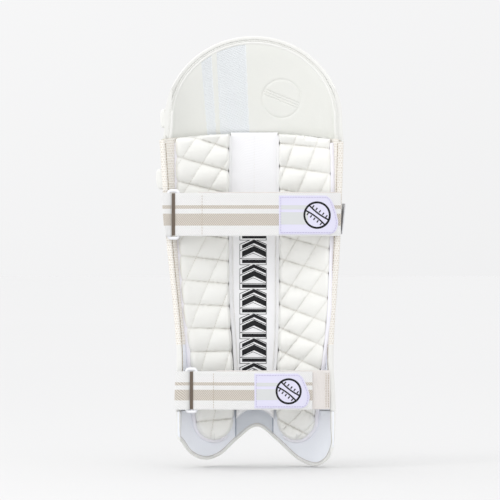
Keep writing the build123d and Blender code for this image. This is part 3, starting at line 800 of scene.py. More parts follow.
def seam_numbers(word, x, z):
    """The two quilting families as numbers that are whole on a seam."""
    x, z = x / MM, z / MM
    if word == "left":
        across, up = -(x + 37.5), z - 172.0
        bend = 0.001 * across
        shallow = up / (33.9 + 0.0252 * across)
        for _ in range(3):
            shallow = (up - bend * shallow * shallow) / (33.9 + 0.0252 * across)
        return shallow, (x + 73.0 - 0.30 * up - 0.00061 * up * up) / 35.0
    across, down = x - 35.0, 500.0 - z
    shallow = (485.5 - 0.115 * across - z) / (34.7 + 0.036 * across)
    if shallow > 10.7:
        shallow = (485.5 - 0.5 * across - z) / 34.7
    return shallow, (x - 63.2 + 0.30 * down + 0.0008 * down * down) / 34.0


def quilt_height(word, x, z):
    """How full the quilted cloth stands, from about 0.54 in a seam to 1 on a pillow."""
    shallow, steep = seam_numbers(word, x, z)
    a, b = shallow - math.floor(shallow), steep - math.floor(steep)
    near_a, near_b = min(a, 1 - a) * 34, min(b, 1 - b) * 34
    deep, faint = (4 * a * (1 - a)) ** 0.50, (4 * b * (1 - b)) ** 0.50
    pillow = deep * (1 - STEEP_SHARE[word]) + deep * faint * STEEP_SHARE[word]
    own = noise.noise(Vector((math.floor(shallow) * 1.7, math.floor(steep) * 2.3, len(word))))
    soft = noise.noise(Vector((x, z, 0.3)) / 0.022)
    tucks_a = math.exp(-near_a / 5) * noise.noise(Vector((x / (3.6 * MM), z / (26 * MM), 1)))
    tucks_b = math.exp(-near_b / 5) * noise.noise(Vector((x / (26 * MM), z / (3.6 * MM), 2)))
    puckers = 0.07 * (tucks_a + tucks_b) * (1 - pillow * 0.5)
    return 0.54 + 0.44 * pillow * (1 + 0.10 * own) + 0.02 * soft + puckers


def bolster_edges(word, z):
    left, right = BOLSTERS[word]
    return through(left, z), through(right, z)


def bolster_spot(word, x, z):
    """The quilted surface at x and z, full inside and rolled down at the edges."""
    left, right = bolster_edges(word, max(z, TIP))
    middle, half = (left + right) / 2, (right - left) / 2
    inward = math.hypot((x - middle) / half, max(TIP - z, 0) / TIP_REACH)
    away = max((1 - inward) * half, 0.0)
    away = min(away, max(knee_line(x, BOLSTER_TOP) - z, 0) * 1.3)
    soft_edge = (5 if abs(x) < abs(middle) else 12) * MM
    rise = math.sqrt(1 - (1 - min(away / soft_edge, 1.0)) ** 2)
    share = rise * quilt_height(word, x, z)
    return behind(x, z, mix(BOLSTER_BACK, BOLSTER_FRONT, share))


def scallop(word, x, z, across):
    """Pulls the edge in where a seam meets it, so that the pillows stand out along the outline."""
    shallow = seam_numbers(word, x, z)[0]
    a = shallow - math.floor(shallow)
    return x - 2.8 * MM * (1 - (4 * a * (1 - a)) ** 0.5) * across ** 3


def bolster_outline(word, across, v, tip_rows=0.085):
    """The x and z of a place across (-1 to 1) and up (0 to 1) a bolster, with a round lower end."""
    if v < tip_rows:
        down = 1 - v / tip_rows
        left, right = bolster_edges(word, TIP)
        x = across * math.sqrt(1 - down * down / 2)
        z = -down * math.sqrt(1 - across * across / 2)
        return (left + right) / 2 + (right - left) / 2 * x, TIP + TIP_REACH * z
    share = (v - tip_rows) / (1 - tip_rows)
    left, right = bolster_edges(word, TIP + (BOLSTER_TOP - TIP) * share)
    x = left + (right - left) * (across + 1) / 2
    ruffle = 1.3 * MM * share ** 30 * noise.noise(Vector((x / (5 * MM), 0, 8)))
    return x, TIP + (knee_line(x, BOLSTER_TOP) - TIP) * share + ruffle


# %% The cushions
FRONT_COLUMNS, BACK_COLUMNS = 68, 10
PILLOW, CREASE_SHADE_WIDTH = 34 * MM, 1.2 * MM


def crease_shade_mask(word, x, z):
    """How much painted shade darkens the quilt: 1 on a quilting seam, and 0 a few millimetres away from it.
    """
    near = [abs(number - round(number)) * PILLOW for number in seam_numbers(word, x, z)]
    strength = (1.0, 0.25 + 0.6 * STEEP_SHARE[word])
    return max(share * math.exp(-(away / CREASE_SHADE_WIDTH) ** 2) for away, share in zip(near, strength))


def bolster_cushion(word):
    """The quilted cushion, closed at the back, with an attribute that says where painted shade darkens its
    seams.
    """
    columns = FRONT_COLUMNS + BACK_COLUMNS

    def place(u, v):
        step = round(u * columns)
        if step <= FRONT_COLUMNS:
            across = 2 * step / FRONT_COLUMNS - 1
            x, z = bolster_outline(word, across, v)
            spot = bolster_spot(word, x, z)
            return Vector((scallop(word, x, z, across), spot.y, z))
        across = 1 - 2 * (step - FRONT_COLUMNS) / BACK_COLUMNS
        x, z = bolster_outline(word, across, v)
        return Vector((scallop(word, x, z, across), behind(x, z, BOLSTER_BACK).y, z))

    cushion = tube(word + "_bolster", columns, 390, place, (0.19, 0.46))
    # This attribute carries painted shade: the quilt's colour darkens along every seam.
    pinch_and_shade = cushion.data.attributes.new("crease_shade_mask", "FLOAT", "POINT")
    for vertex, share in zip(cushion.data.vertices, pinch_and_shade.data):
        share.value = crease_shade_mask(word, vertex.co.x, vertex.co.z)
    dress(cushion, "shin_shell", QUILT, "quilted_pu", word + "_bolster_cover", word + "_bolster_foam")


# %% [markdown]
# ## The quilting thread
#
# Each seam lies where its family's number is whole. The curve is found by halving an interval, and the
# thread is then laid on the finished surface, so it always sits in the bottom of the crease.

# %% Sewing along the quilting seams
def along(points, t):
    """A point part of the way along a list of points."""
    place = min(max(t, 0.0), 1.0) * (len(points) - 1)
    index = min(int(place), len(points) - 2)
    return points[index].lerp(points[index + 1], place - index)


def inside_bolster(word, x, z):
    left, right = bolster_edges(word, max(z, TIP))
    across = (x - (left + right) / 2) / ((right - left) / 2 - 4 * MM)
    in_outline = math.hypot(across, max(TIP - z, 0) / (TIP_REACH - 4 * MM)) < 1
    return in_outline and z < knee_line(x, BOLSTER_TOP) - 3 * MM


def seam_run(word, family, number):
    """The points of one quilting seam, found where its family's number is whole."""
    found = []
    steps = 90 if family == 0 else 400
    for step in range(steps + 1):
        if family == 0:
            low, high = 0.036, 0.506
            left, right = bolster_edges(word, 0.3)
            x = left - 0.01 + (right - left + 0.02) * step / steps
            falls = seam_numbers(word, x, low)[0] > seam_numbers(word, x, high)[0]
            for _ in range(24):
                z = (low + high) / 2
                low, high = (z, high) if (seam_numbers(word, x, z)[0] > number) == falls else (low, z)
        else:
            z = 0.038 + 0.462 * step / steps
            offset = seam_numbers(word, 0.0, z)[1]
            slope = seam_numbers(word, 0.1, z)[1] - offset
            x = (number - offset) / slope * 0.1
        if inside_bolster(word, x, z):
            found.append(bolster_spot(word, x, z))
    return found


def bolster_sewing(word):
    """The thread of every quilting seam, as one piece."""
    sewing = []
    for family in (0, 1):
        for number in range(-12, 16):
            run = seam_run(word, family, number)
            if len(run) > 12:
                sewing.append(thread(f"{word}_seam_{family}_{number}", lambda t, run=run: along(run, t),
                                     towards_viewer))
    dress(join(sewing, word + "_bolster_sewing"), "shin_shell", ECRU_THREAD, "quilted_pu")


# %% The welt that closes a bolster, and the finished pair
WELT_DEPTH = (8.6 * MM, 22.6 * MM)
ROUND_FROM = 0.8


def bolster_welt(word, outward):
    """A flattened cord down the outer edge and round the tip. The left one tucks under higher up."""

    def edge(t):
        v = 0.985 - 0.985 * t / ROUND_FROM if t < ROUND_FROM else 0
        sweep = outward
        if t >= ROUND_FROM:
            sweep = outward * (1 - 2 * (t - ROUND_FROM) / 0.2 * 0.95)
        x, z = bolster_outline(word, sweep, v)
        tucked = min(1.0, max(0.0, (z - 0.15) / 0.08)) if word == "left" else 0.0
        out = (1.4 - 3.0 * tucked) * MM
        out_here = outward * out * min(1.0, max(0.0, (z - 0.036) / 0.02))
        return behind(x + out_here, z - (0 if v else out * 0.6), WELT_DEPTH)

    welt = cord(word + "_welt", evenly(edge, 2.0 * MM), 3.3 * MM, around=12, flat=0.8)
    dress(welt, "shin_shell", TAPE, "binding_tape", word + "_bolster_welt")


for word, outward in (("left", -1), ("right", 1)):
    bolster_cushion(word)
    bolster_sewing(word)
    bolster_welt(word, outward)

# %% [markdown]
# ## The centre pad and its print
#
# A firm strip runs up the spine between the bolsters. Its cover is smooth, so a heavy print stands out on
# it. A plain woven elastic band lies over its upper part. The print here is a column of chevrons and bars:
# ink with a grey line round it, each drawn as a thin skin laid just above the cover.

# %% Centre pad and webbing
CENTRE_LEFT = [(0.060, -0.0285), (0.120, -0.0285), (0.190, -0.032), (0.260, -0.0366), (0.510, -0.0366)]
CENTRE_RIGHT = [(0.060, 0.0285), (0.120, 0.0285), (0.200, 0.0335), (0.510, 0.0341)]
CENTRE_BACK = (6.6 * MM, 20.4 * MM)


def centre_foot(x):
    """The lower end arches over the tongue of the shoe."""
    return 0.0846 - 0.0186 * (x / 0.0285) ** 2


def centre_piece(name, low, high, material, slot, crown, *nodes):
    """A strip of the centre pad between two heights, crowned across, with its long edges rolled down."""
    foot = centre_foot if low is None else (lambda x: low)

    def place(u, v):
        p, q = bead(u, 0.42)
        z = foot(0.026 * p) + (high - foot(0.026 * p)) * v
        left, right = through(CENTRE_LEFT, z), through(CENTRE_RIGHT, z)
        x = (left + right) / 2 + (right - left) / 2 * p
        full = gather(v, high - foot(0), 4 * MM)
        share = (q + 1) / 2 * full * (1 - crown * p * p)
        share += 0.01 * noise.noise(Vector((x / 0.02, z / 0.03, 5))) * (q + 1) / 2
        return behind(x, z, mix(CENTRE_BACK, PAD_FRONT, share))

    piece = tube(name, 64, 150, place, (0.14, high - foot(0)))
    return dress(piece, "shin_shell", material, slot, *nodes)


centre_piece("centre_pad", None, 0.3768, CENTRE_SKIN, "centre_pu", 0.10, "centre_pad_cover",
                       "centre_pad_foam")
centre_piece("spine_band", 0.3770, 0.502, PLAIN, "plain_webbing", 0.06, "spine_webbing")
centre_piece("spine_core", 0.3772, 0.5005, FOAM, "foam", 0.12)


def flange_place(u, v):
    """The pad's foot tucks under both bolsters, so that no gap shows between them."""
    z = 0.092 + (0.497 - 0.092) * v
    left, right = through(CENTRE_LEFT, z) - 2.2 * MM, through(CENTRE_RIGHT, z) + 2.2 * MM
    return behind(left + (right - left) * u, z, mix(CENTRE_BACK, PAD_FRONT, 0.72))


flange = panel("centre_flange", 24, 80, flange_place, (0.075, 0.405))
thicken(flange, 1.0 * MM)
dress(flange, "shin_shell", CENTRE_SKIN, "centre_pu")


def on_centre(x, z, lift):
    """A place just above the centre pad's cover."""
    left, right = through(CENTRE_LEFT, z), through(CENTRE_RIGHT, z)
    p = (x - (left + right) / 2) / ((right - left) / 2)
    spot = behind(x, z, mix(CENTRE_BACK, PAD_FRONT, 1.008 * (1 - 0.10 * p * p)))
    return spot - Vector((0, lift, 0))


def printed(name, lay, place, material, columns=16, rows=4):
    """A thin skin of ink: place gives x and z, lay puts them on the cloth."""
    piece = panel(name, columns, rows, lambda u, v: lay(*place(u, v)), (0.03, 0.03))
    thicken(piece, 0.12 * MM)
    piece.data.materials.append(material)
    return piece


PRINT_LEFT, PRINT_RIGHT, PRINT_FOOT, PRINT_STEP = -0.0195, 0.0165, 0.0905, 0.0372
SHAPES = ((0.0, 8.5 * MM, 8.5 * MM), (12.6 * MM, 5.5 * MM, 8.5 * MM), (28.2 * MM, 5.2 * MM, 0.0))
LAYERS = (("outline", 2.3 * MM, 0.10 * MM, INK), ("gap", 1.5 * MM, 0.26 * MM, CENTRE_SKIN),
          ("heart", 0.0, 0.42 * MM, INK))
for layer, margin, lift, ink in LAYERS:
    drawn = []
    shift = 0.0 if layer == "heart" else -1.4 * MM
    for number in range(7):
        for base, heavy, rise in SHAPES:
            width = PRINT_RIGHT - PRINT_LEFT + 2 * margin
            foot = PRINT_FOOT + PRINT_STEP * number + base - margin

            def stroke(u, v):
                x = PRINT_LEFT - margin + shift + width * u
                return x, foot + shift * 0.4 + (heavy + 2 * margin) * v + rise * (1 - abs(2 * u - 1))

            drawn.append(printed("stroke", lambda x, z: on_centre(x, z, lift), stroke, ink, 20, 3))
    dress(join(drawn, "centre_print_" + layer), "shin_shell", ink, "centre_pu")

for side, edges in ((-1, CENTRE_LEFT), (1, CENTRE_RIGHT)):

    def centre_seam(t, side=side, edges=edges):
        z = 0.082 + 0.29 * t
        return on_centre(through(edges, z) - side * 3.6 * MM, z, 0.0)

    word = "left" if side < 0 else "right"
    sewn = thread("centre_seam_" + word, centre_seam, towards_viewer, radius=0.45 * MM)
    dress(sewn, "shin_shell", WHITE_THREAD, "centre_pu")

# %% [markdown]
# ## The instep
#
# Two lobes and an arch lie over the shoe. The lining is smooth and bluish, with a darker tongue in the
# middle, and a white binding with a fine piping inside it closes the edge.

# %% Instep linings, binding and ribs
INSTEP_SKIN = leather("tongue_leather", (0.62, 0.65, 0.70), roughness=0.5, grain=1200, dirt=0.04)
ARCH = (-0.029, 0.027)


def instep_panel(name, left, right, material, node):
    """A piece of the instep's lining between two x, softly dished inside its edges."""

    def place(u, v):
        share = 0.5 - 0.5 * math.cos(math.pi * u) if name == "instep_tongue" else u
        x = left + (right - left) * share
        low, high = through(OUTLINE, x) + 3.6 * MM, INSTEP - FOLD_GAP
        z = low + (high - low) * v
        plump = 1.2 * MM * (4 * v * (1 - v)) ** 0.5 * min(1.0, 8 * min(u, 1 - u))
        ripple = 0.5 * MM * noise.noise(Vector((x / 0.02, z / 0.012, 9)))
        return behind(x, z, (LINING[0] + plump * 0.4, LINING[1] + plump + ripple))

    piece = panel(name, 60, 30, place, (right - left, 0.08))
    thicken(piece, 1.2 * MM)
    return dress(piece, "instep_flap", material, "lining_pu", node)


instep_panel("instep_left_skin", -0.1155, ARCH[0], LINING_SKIN, "instep_left_lining")
instep_panel("instep_tongue", ARCH[0], ARCH[1], INSTEP_SKIN, "instep_arch_lining")
instep_panel("instep_right_skin", ARCH[1], 0.1175, LINING_SKIN, "instep_right_lining")

LOBE_PATH = [(-0.1180, 0.0835), (-0.1180, 0.066), (-0.1165, 0.046), *OUTLINE[2:-2], (0.1192, 0.046),
             (0.1202, 0.064), (0.1202, 0.0835)]


def lobe_edge(t, inset):
    """A place along the edge of the instep, moved inwards by inset."""
    sideways = [(i, x) for i, (x, z) in enumerate(LOBE_PATH)]
    upwards = [(i, z) for i, (x, z) in enumerate(LOBE_PATH)]
    at = t * (len(LOBE_PATH) - 1)

    def spot(s):
        return Vector((through(sideways, s), through(upwards, s)))

    ahead = (spot(at + 0.03) - spot(at - 0.03)).normalized()
    here = spot(at)
    return here.x - ahead.y * inset, here.y + ahead.x * inset


def hem_half(t):
    """Half the width of the binding: broad up the sides, narrow under the lobes."""
    return (2.3 + 1.2 * min(1.0, max(0.0, (abs(t - 0.5) - 0.36) / 0.08))) * MM


def instep_bar(u, v):
    p, q = bead(u, 0.5)
    x, z = lobe_edge(v, hem_half(v) * (1 + p))
    return behind(x, min(z, INSTEP - FOLD_GAP), mix(*BAR_DEPTHS, (q + 1) / 2))


edge = tube("instep_edge", 40, 320, instep_bar, (0.06, 0.4))
dress(edge, "instep_flap", WHITE, "white_pu", "instep_binding")
SEAM_BLUE = leather("blue_grey_cord", (0.30, 0.34, 0.42), roughness=0.5, grain=1400, dirt=0.0)
PIPING = leather("stone_piping", (0.60, 0.58, 0.55), roughness=0.5, grain=1400, dirt=0.0)


def lobe_piping(t):
    x, z = lobe_edge(t, 2 * hem_half(t) + 0.4 * MM)
    return behind(x, min(z, INSTEP - FOLD_GAP), (LINING[0] + 1.0 * MM, LINING[1] + 1.4 * MM))


dress(cord("instep_piping", evenly(lobe_piping, 2 * MM), 0.6 * MM), "instep_flap", PIPING, "lining_pu")
for word, x in (("left", ARCH[0]), ("right", ARCH[1])):

    def tongue_seam(t, x=x):
        low = through(OUTLINE, x) + HEM
        return behind(x, low + (INSTEP - FOLD_GAP - low) * t, (LINING[0] + 0.8 * MM, LINING[1] + 1.2 * MM))

    seam_cord = cord("tongue_seam_" + word, evenly(tongue_seam, 2 * MM), 0.6 * MM)
    dress(seam_cord, "instep_flap", SEAM_BLUE, "lining_pu")

for angle in (-54, -34, 34, 54):
    low = max(through(OUTLINE, round_pad(angle - 7.5, 0.05, FACE).x),
              through(OUTLINE, round_pad(angle + 7.5, 0.05, FACE).x)) + HEM + 2 * MM
    rib(f"instep_rib_{angle}", angle, low, 0.075, -9 * MM, "instep_flap", "white_pu", "instep_ribs")


# %% [markdown]
# ## The knee flap
#
# The flap is a domed board: cover, stiffener, foam and a crowned lining. The lining is pressed with two
# bands of fine slanted lines and a plain ball, so the pattern is relief, not colour. A binding goes round
# the dome, with a twisted piping sewn in beside it and a soft welt inside that.

# %% The embossed lining
EMBOSS_DEPTH = 1.1 * MM
BANDS = (((0.616, -0.0819, -0.0654), (0.505, -0.0724, -0.0589)),
         ((0.640, -0.0589, -0.0139), (0.505, -0.0525, -0.0086)))
BALL = (0.040, 0.553, 0.029)


def relief(x, z):
    """How deep the flap's lining is pressed, from 0 to 1."""
    for (high, left_high, right_high), (low, left_low, right_low) in BANDS:
        share = (z - low) / (high - low)
        left, right = left_low + (left_high - left_low) * share, right_low + (right_high - right_low) * share
        if left < x < right:
            slanted = (z + 0.48 * x) / (3.6 * MM)
            inside = min((x - left), (right - x)) / (1.2 * MM)
            return min(1.0, inside) * (0.2 + 0.8 * (0.5 + 0.5 * math.sin(2 * math.pi * slanted)))
    away = math.hypot(x - BALL[0], z - BALL[1])
    turned = (x - BALL[0]) * 0.42 + (z - BALL[1])
    ring = math.exp(-(((away - BALL[2]) / (1.5 * MM)) ** 2))
    if away < BALL[2]:
        for offset in (-4.2 * MM, 0.0, 4.2 * MM):
            ring = max(ring, math.exp(-(((turned - offset) / (0.9 * MM)) ** 2)))
    return ring


def flare(c, share):
    """The flap's lower corners spread a little, as the weight of the flap presses on the wings."""
    return c ** 3 * (3.5 if c < 0 else 2.0) * MM * (1 - share) ** 2


def dome_place(c, v, inset, sill=KNEE + FOLD_GAP):
    """The x and z of a place across (-1 to 1) and up the dome, without a pinch at its top."""
    half, height = DOME_HALF - inset, DOME_HEIGHT - inset
    share = 0.12
    if v > share:
        up = (v - share) / (1 - share)
        x = DOME_MIDDLE + half * c * math.sqrt(1 - up * up / 2)
        return x, SHOULDER + height * up * math.sqrt(1 - c * c / 2), math.hypot(
            c * math.sqrt(1 - up * up / 2), up * math.sqrt(1 - c * c / 2))
    x = DOME_MIDDLE + half * c
    low = knee_line(x, sill)
    return x + flare(c, v / share), low + (SHOULDER - low) * v / share, abs(c)


def flap_front(u, v):
    x, z, out = dome_place(2 * u - 1, v, FLAP_HEM)
    away = (1 - out) * 0.125
    away = min(away, (z - knee_line(x, KNEE + FOLD_GAP)) * 1.2 + 0.5 * MM)
    crown = 3.2 * MM * math.sqrt(1 - (1 - min(away / 0.018, 1.0)) ** 2)
    soft = 0.5 * MM * noise.noise(Vector((x / 0.04, z / 0.03, 3)))
    lift = crown + soft - EMBOSS_DEPTH * relief(x, z)
    return behind(x, z, (FLAP_LINING[0] + lift * 0.4, FLAP_LINING[1] - 1.2 * MM + lift), flap_slice)


face = panel("flap_lining", 250, 180, flap_front, (0.26, 0.15))
thicken(face, 1.2 * MM)
face.data.materials.append(FLAP)
face.data.materials.append(PRESSED)
for polygon in face.data.polygons:
    spot = polygon.center
    if any(l0 + (l1 - l0) * (spot.z - z0) / (z1 - z0) < spot.x < r0 + (r1 - r0) * (spot.z - z0) / (z1 - z0)
           for (z1, l1, r1), (z0, l0, r0) in BANDS):
        polygon.material_index = 1
dress(face, "top_flap", FLAP, "flap_pu", "top_flap_lining")


# %% Its binding, piping and welt
def dome_edge(t, inset):
    """Along the flap's edge from the lower left to the lower right."""
    straight = 0.09
    half, height = DOME_HALF - inset, DOME_HEIGHT - inset
    low = knee_line(0.13, KNEE + FOLD_GAP)
    if t < straight:
        return DOME_MIDDLE - half + flare(-1, t / straight), low + (SHOULDER - low) * t / straight
    if t > 1 - straight:
        return DOME_MIDDLE + half + flare(1, (1 - t) / straight), low + (SHOULDER - low) * (1 - t) / straight
    turn = math.pi * (1 - (t - straight) / (1 - 2 * straight))
    return DOME_MIDDLE + half * math.cos(turn), SHOULDER + height * math.sin(turn)


def flap_bar(u, v):
    p, q = bead(u, 0.5)
    x, z = dome_edge(v, 3.3 * MM + 3.3 * MM * p)
    pinch_and_shade = 0.3 * MM * noise.noise(Vector((v * 70, p, 4)))
    return behind(x, z, mix((-0.8 * MM, -0.8 * MM), (13.5 * MM, 17.6 * MM + pinch_and_shade), (q + 1) / 2), flap_slice)


rim = tube("flap_edge", 36, 420, flap_bar, (0.05, 0.5))
dress(rim, "top_flap", WHITE, "flap_pu", "top_flap_binding")


def flap_line(inset, lift):
    def curve(t):
        x, z = dome_edge(t, inset)
        return behind(x, z, (FLAP_LINING[0] + lift * 0.5, FLAP_LINING[1] + lift), flap_slice)

    return evenly(curve, 1.0 * MM)


strands = []
route = flap_line(7.4 * MM, 0.6 * MM)
for strand in (0, 1):
    twisted = []
    for index, point in enumerate(route):
        turn = 2 * math.pi * index / 7 + math.pi * strand
        before, after = route[max(index - 1, 0)], route[min(index + 1, len(route) - 1)]
        side = (after - before).cross(Vector((0, -1, 0))).normalized()
        twisted.append(point + side * (0.7 * MM * math.cos(turn)) + Vector((0, 0.7 * MM * math.sin(turn), 0)))
    strands.append(cord(f"piping_{strand}", twisted, 0.8 * MM, around=6))
dress(join(strands, "flap_piping"), "top_flap", WHITE, "binding_tape")
flap_welt = cord("flap_welt", flap_line(10.6 * MM, 0.9 * MM)[::2], 2.2 * MM, around=12, flat=0.7)
dress(flap_welt, "top_flap", WHITE, "binding_tape")


# %% [markdown]
# ## Hinges of cloth
#
# The knee flap and the instep turn on strips of cloth sewn across the face. On the pad a strip holds to the
# shell on one side and to the flap on the other; here each strip is laid across its fold on no body.

# %% Knee and instep hinges
def hinge(name, low, high, middle):
    """A strip across the face, laid across the fold on the shell's curve and given to no body."""

    def place(u, v):
        angle = -70 + 140 * u
        x = round_pad(angle, middle, FACE).x
        drop = knee_line(x, 0.0) if middle == KNEE else 0.0
        spot = round_pad(angle, low + (high - low) * v + drop, (-0.25 * MM, -0.25 * MM))
        return spot

    piece = panel(name, 80, 16, place, (0.28, high - low))
    thicken(piece, 0.5 * MM, offset=1)
    piece.data.materials.append(WHITE)
    smooth(piece)
    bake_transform(piece)
    print(piece.name, len(piece.data.polygons), "faces")


hinge("knee_hinge", KNEE - 0.010, KNEE + 0.007, KNEE)
hinge("instep_hinge", INSTEP - 0.008, INSTEP + 0.008, INSTEP)

# %% [markdown]
# ## The straps
#
# Each strap is woven tape with two taupe stripes. It is sewn to the right wall, runs across the back, turns
# round the bar of a ring at the left, and comes back over itself. A patch with hook tape beneath closes it
# on a panel of loop pile. The ring hangs from a tab of the same tape on the left wall.

# %% The run of a strap
WEBBING, RING_Y, RING_SPACING = 1.8 * MM, -30.0 * MM, 14.5 * MM
FOLD_RADIUS, BOW, LAYER_GAP = 3.9 * MM, 12.0 * MM, 4.0 * MM
# Next: how far the painted shade in the ring's slot stays from each bar of the ring.
SLOT_SHADE_GAP = 4.85 * MM
STRAPS = {
    "upper": {"bottom": 0.3455, "width": 0.064, "ring": -0.1218, "base": 0.127, "tail": 0.128,
              "sewn_at": -0.079, "patch": (0.0357, 0.1238), "patch_z": (0.3478, 0.4057),
              "ball": (0.0925, 0.3765, 0.0205),
              "bars": ((0.0378, 0.079, 0.3850, 0.3912), (0.0378, 0.079, 0.3625, 0.3808))},
    "lower": {"bottom": 0.0865, "width": 0.057, "ring": -0.0949, "base": 0.112, "tail": 0.0855,
              "sewn_at": -0.062, "patch": (-0.0008, 0.0813), "patch_z": (0.0885, 0.1405),
              "ball": (0.0500, 0.1140, 0.0195),
              "bars": ((0.0013, 0.034, 0.1215, 0.1268), (0.0013, 0.034, 0.1010, 0.1172))},
}


def strap_lines(strap):
    """y of the base layer and of the tail over it, at a given x."""
    start = strap["ring"] + RING_SPACING / 2
    middle, half = (start + strap["base"]) / 2, (strap["base"] - start) / 2

    def base_y(x):
        return RING_Y + FOLD_RADIUS - BOW * (1 - ((x - middle) / half) ** 2)

    def tail_y(x):
        near = max(0.0, 1 - (x - start) / 0.100)
        return base_y(x) - LAYER_GAP - (2 * FOLD_RADIUS - LAYER_GAP) * near ** 2

    return base_y, tail_y


def band(name, points, bottom, width, thickness, material, across=16):
    """Tape that stands on edge and follows points (x, y) in plan. v runs from its top edge down."""
    length = sum(math.dist(a, b) for a, b in zip(points, points[1:]))

    def place(u, v):
        x, y = points[round(u * (len(points) - 1))]
        return Vector((x, y, bottom + width - width * v))

    piece = panel(name, len(points) - 1, across, place, (length, width))
    thicken(piece, thickness)
    apply(piece, "BEVEL", width=0.35 * MM, segments=2, limit_method="ANGLE", angle_limit=math.radians(50))
    piece.data.materials.append(material)
    return piece


def plan(curve, left, right, offset=0.0, step=1.5 * MM):
    """Points (x, y) of a curve y(x)."""
    count = max(2, round((right - left) / step))
    return [(left + (right - left) * i / count, curve(left + (right - left) * i / count) + offset)
            for i in range(count + 1)]


# %% What the pieces of one strap share
for name, strap in STRAPS.items():
    strap["tape"], strap["loop_body"], strap["tail_body"] = STRIPED[name], name + "_ring_loop", name + "_tail"
    strap["ring_left"] = strap["ring"] - RING_SPACING / 2
    strap["ring_right"] = strap["ring"] + RING_SPACING / 2
    strap["middle"] = strap["bottom"] + strap["width"] / 2
    strap["base_y"], strap["tail_y"] = strap_lines(strap)
    print(name, "ring bars at", round(strap["ring_left"], 4), round(strap["ring_right"], 4))


def round_bar(centre, angles):
    """Points (x, y) on a tape's turn round a bar of the ring, at these angles in degrees."""
    turns = [math.radians(a) for a in angles]
    return [(centre + FOLD_RADIUS * math.cos(a), RING_Y + FOLD_RADIUS * math.sin(a)) for a in turns]


# %% [markdown]
# ## Tape that bends at the ring
#
# A strap is one length of tape, but its ends hang on different bodies, and a hard cut at the ring would tear
# it when the ring swings. Here the base and the turned tape are each one mesh, laid in place on no body.

# %% The base, and the tape that turns round the ring
def strap_tapes(name, strap):
    """Lays the base, and the tape that turns round the ring into the tail; neither is given to a body."""
    bottom, width, middle = strap["bottom"], strap["width"], strap["middle"]
    right, loop_body = strap["ring_right"], strap["loop_body"]
    base = band(name + "_base", plan(strap["base_y"], right + 3 * MM, strap["base"]), bottom, width, WEBBING,
                strap["tape"])
    smooth(base)
    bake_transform(base)
    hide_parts(name + "_strap_base")

    turn = [(right + 2.6 * MM, RING_Y + FOLD_RADIUS)] + round_bar(right, range(90, 271, 15))
    tail = band(name + "_tape", turn + plan(strap["tail_y"], right + 1.5 * MM, strap["tail"]), bottom, width,
                WEBBING, strap["tape"])
    smooth(tail)
    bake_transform(tail)
    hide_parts(name + "_strap_fold", name + "_strap_tail")
    print(name, "tapes", len(base.data.polygons), len(tail.data.polygons), "faces")


# %% Loop pile on the base, hook tape under the tail
HOOKS = simple("hook_tape", (0.78, 0.78, 0.80), 0.6, 3000, 0.3 * MM, variation=0.3)
CLOSURE_THICKNESS = 0.8 * MM


def strap_closure(name, strap):
    """The pile covers the whole base. The hooks lie only under the patch."""
    bottom, width = strap["bottom"], strap["width"]
    run = plan(strap["base_y"], strap["ring_right"] + 0.030, strap["base"] + 0.2 * MM,
               -WEBBING / 2 - 0.4 * MM)
    pile = band(name + "_pile", run, bottom + 0.6 * MM, width + 1.0 * MM, CLOSURE_THICKNESS, PILE)
    dress(pile, "shin_shell", PILE, "loop_pile", name + "_loop_pile")
    run = plan(strap["tail_y"], strap["patch"][0] + 4 * MM, strap["tail"] - 4 * MM, WEBBING / 2 + 0.45 * MM)
    hooks = band(name + "_hooks", run, bottom + 3 * MM, width - 6 * MM, CLOSURE_THICKNESS, HOOKS)
    dress(hooks, strap["tail_body"], HOOKS, "hook_tape", name + "_hook_pad")


# %% [markdown]
# ## The patch and its print
#
# The patch is a stiff leather tag that keeps the hook tape behind it flat. Bars and ball are thin skins of
# ink in the patch's own curve. A texture could carry them, but their edges would soften in a close view.

# %% The patch and its border of stitches
PATCH_THREAD = simple("violet_thread", (0.50, 0.46, 0.68), 0.7, 2500, 0.1 * MM)
BORDER_INSET = 2.6 * MM


def patch_right(strap, z):
    """The patch's free end is rounded, and fullest below its middle."""
    right, (low, high) = strap["patch"][1], strap["patch_z"]
    outline = [(low, right - 13 * MM), (low + 3 * MM, right - 5.5 * MM), (low + 10 * MM, right - 1.2 * MM),
               (low + 20 * MM, right), (high - 14 * MM, right - 6.5 * MM),
               (high - 5 * MM, right - 11.5 * MM), (high, right - 18 * MM)]
    return through(outline, z)


def on_patch(strap, x, z, lift=0.0):
    """A place on the face of the patch, or a lift above it."""
    return Vector((x, strap["tail_y"](x) - WEBBING / 2 - 1.0 * MM - lift, z))


def strap_patch(name, strap):
    """A plump leather patch, with a line of stitches just inside its edge."""
    left, (low, high) = strap["patch"][0], strap["patch_z"]

    def place(u, v):
        z = low + (high - low) * v
        x = left + (patch_right(strap, z) - left) * u
        near = min(u * 0.08, (1 - u) * 0.08, v * 0.05, (1 - v) * 0.05) / (3 * MM)
        return on_patch(strap, x, z, 0.35 * MM * min(1.0, near) - 0.5 * MM)

    patch = panel(name + "_patch", 60, 40, place, (0.088, 0.055))
    thicken(patch, 1.0 * MM)
    dress(patch, strap["tail_body"], LILAC, "patch_pu", name + "_strap_patch")

    def border(t):
        inset = BORDER_INSET
        corners = (t * 4) % 4
        side, share = int(corners), corners - int(corners)
        z = (low + inset, low + inset + (high - low - 2 * inset) * share, high - inset,
             high - inset - (high - low - 2 * inset) * share)[side]
        right = patch_right(strap, z) - inset
        span = right - left - inset
        x = (left + inset + span * share, right, right - span * share, left + inset)[side]
        return on_patch(strap, x, z, 0.35 * MM)

    sewn = thread(name + "_patch_sewing", border, towards_viewer, 4.0 * MM, 0.35 * MM)
    dress(sewn, strap["tail_body"], PATCH_THREAD, "patch_pu")


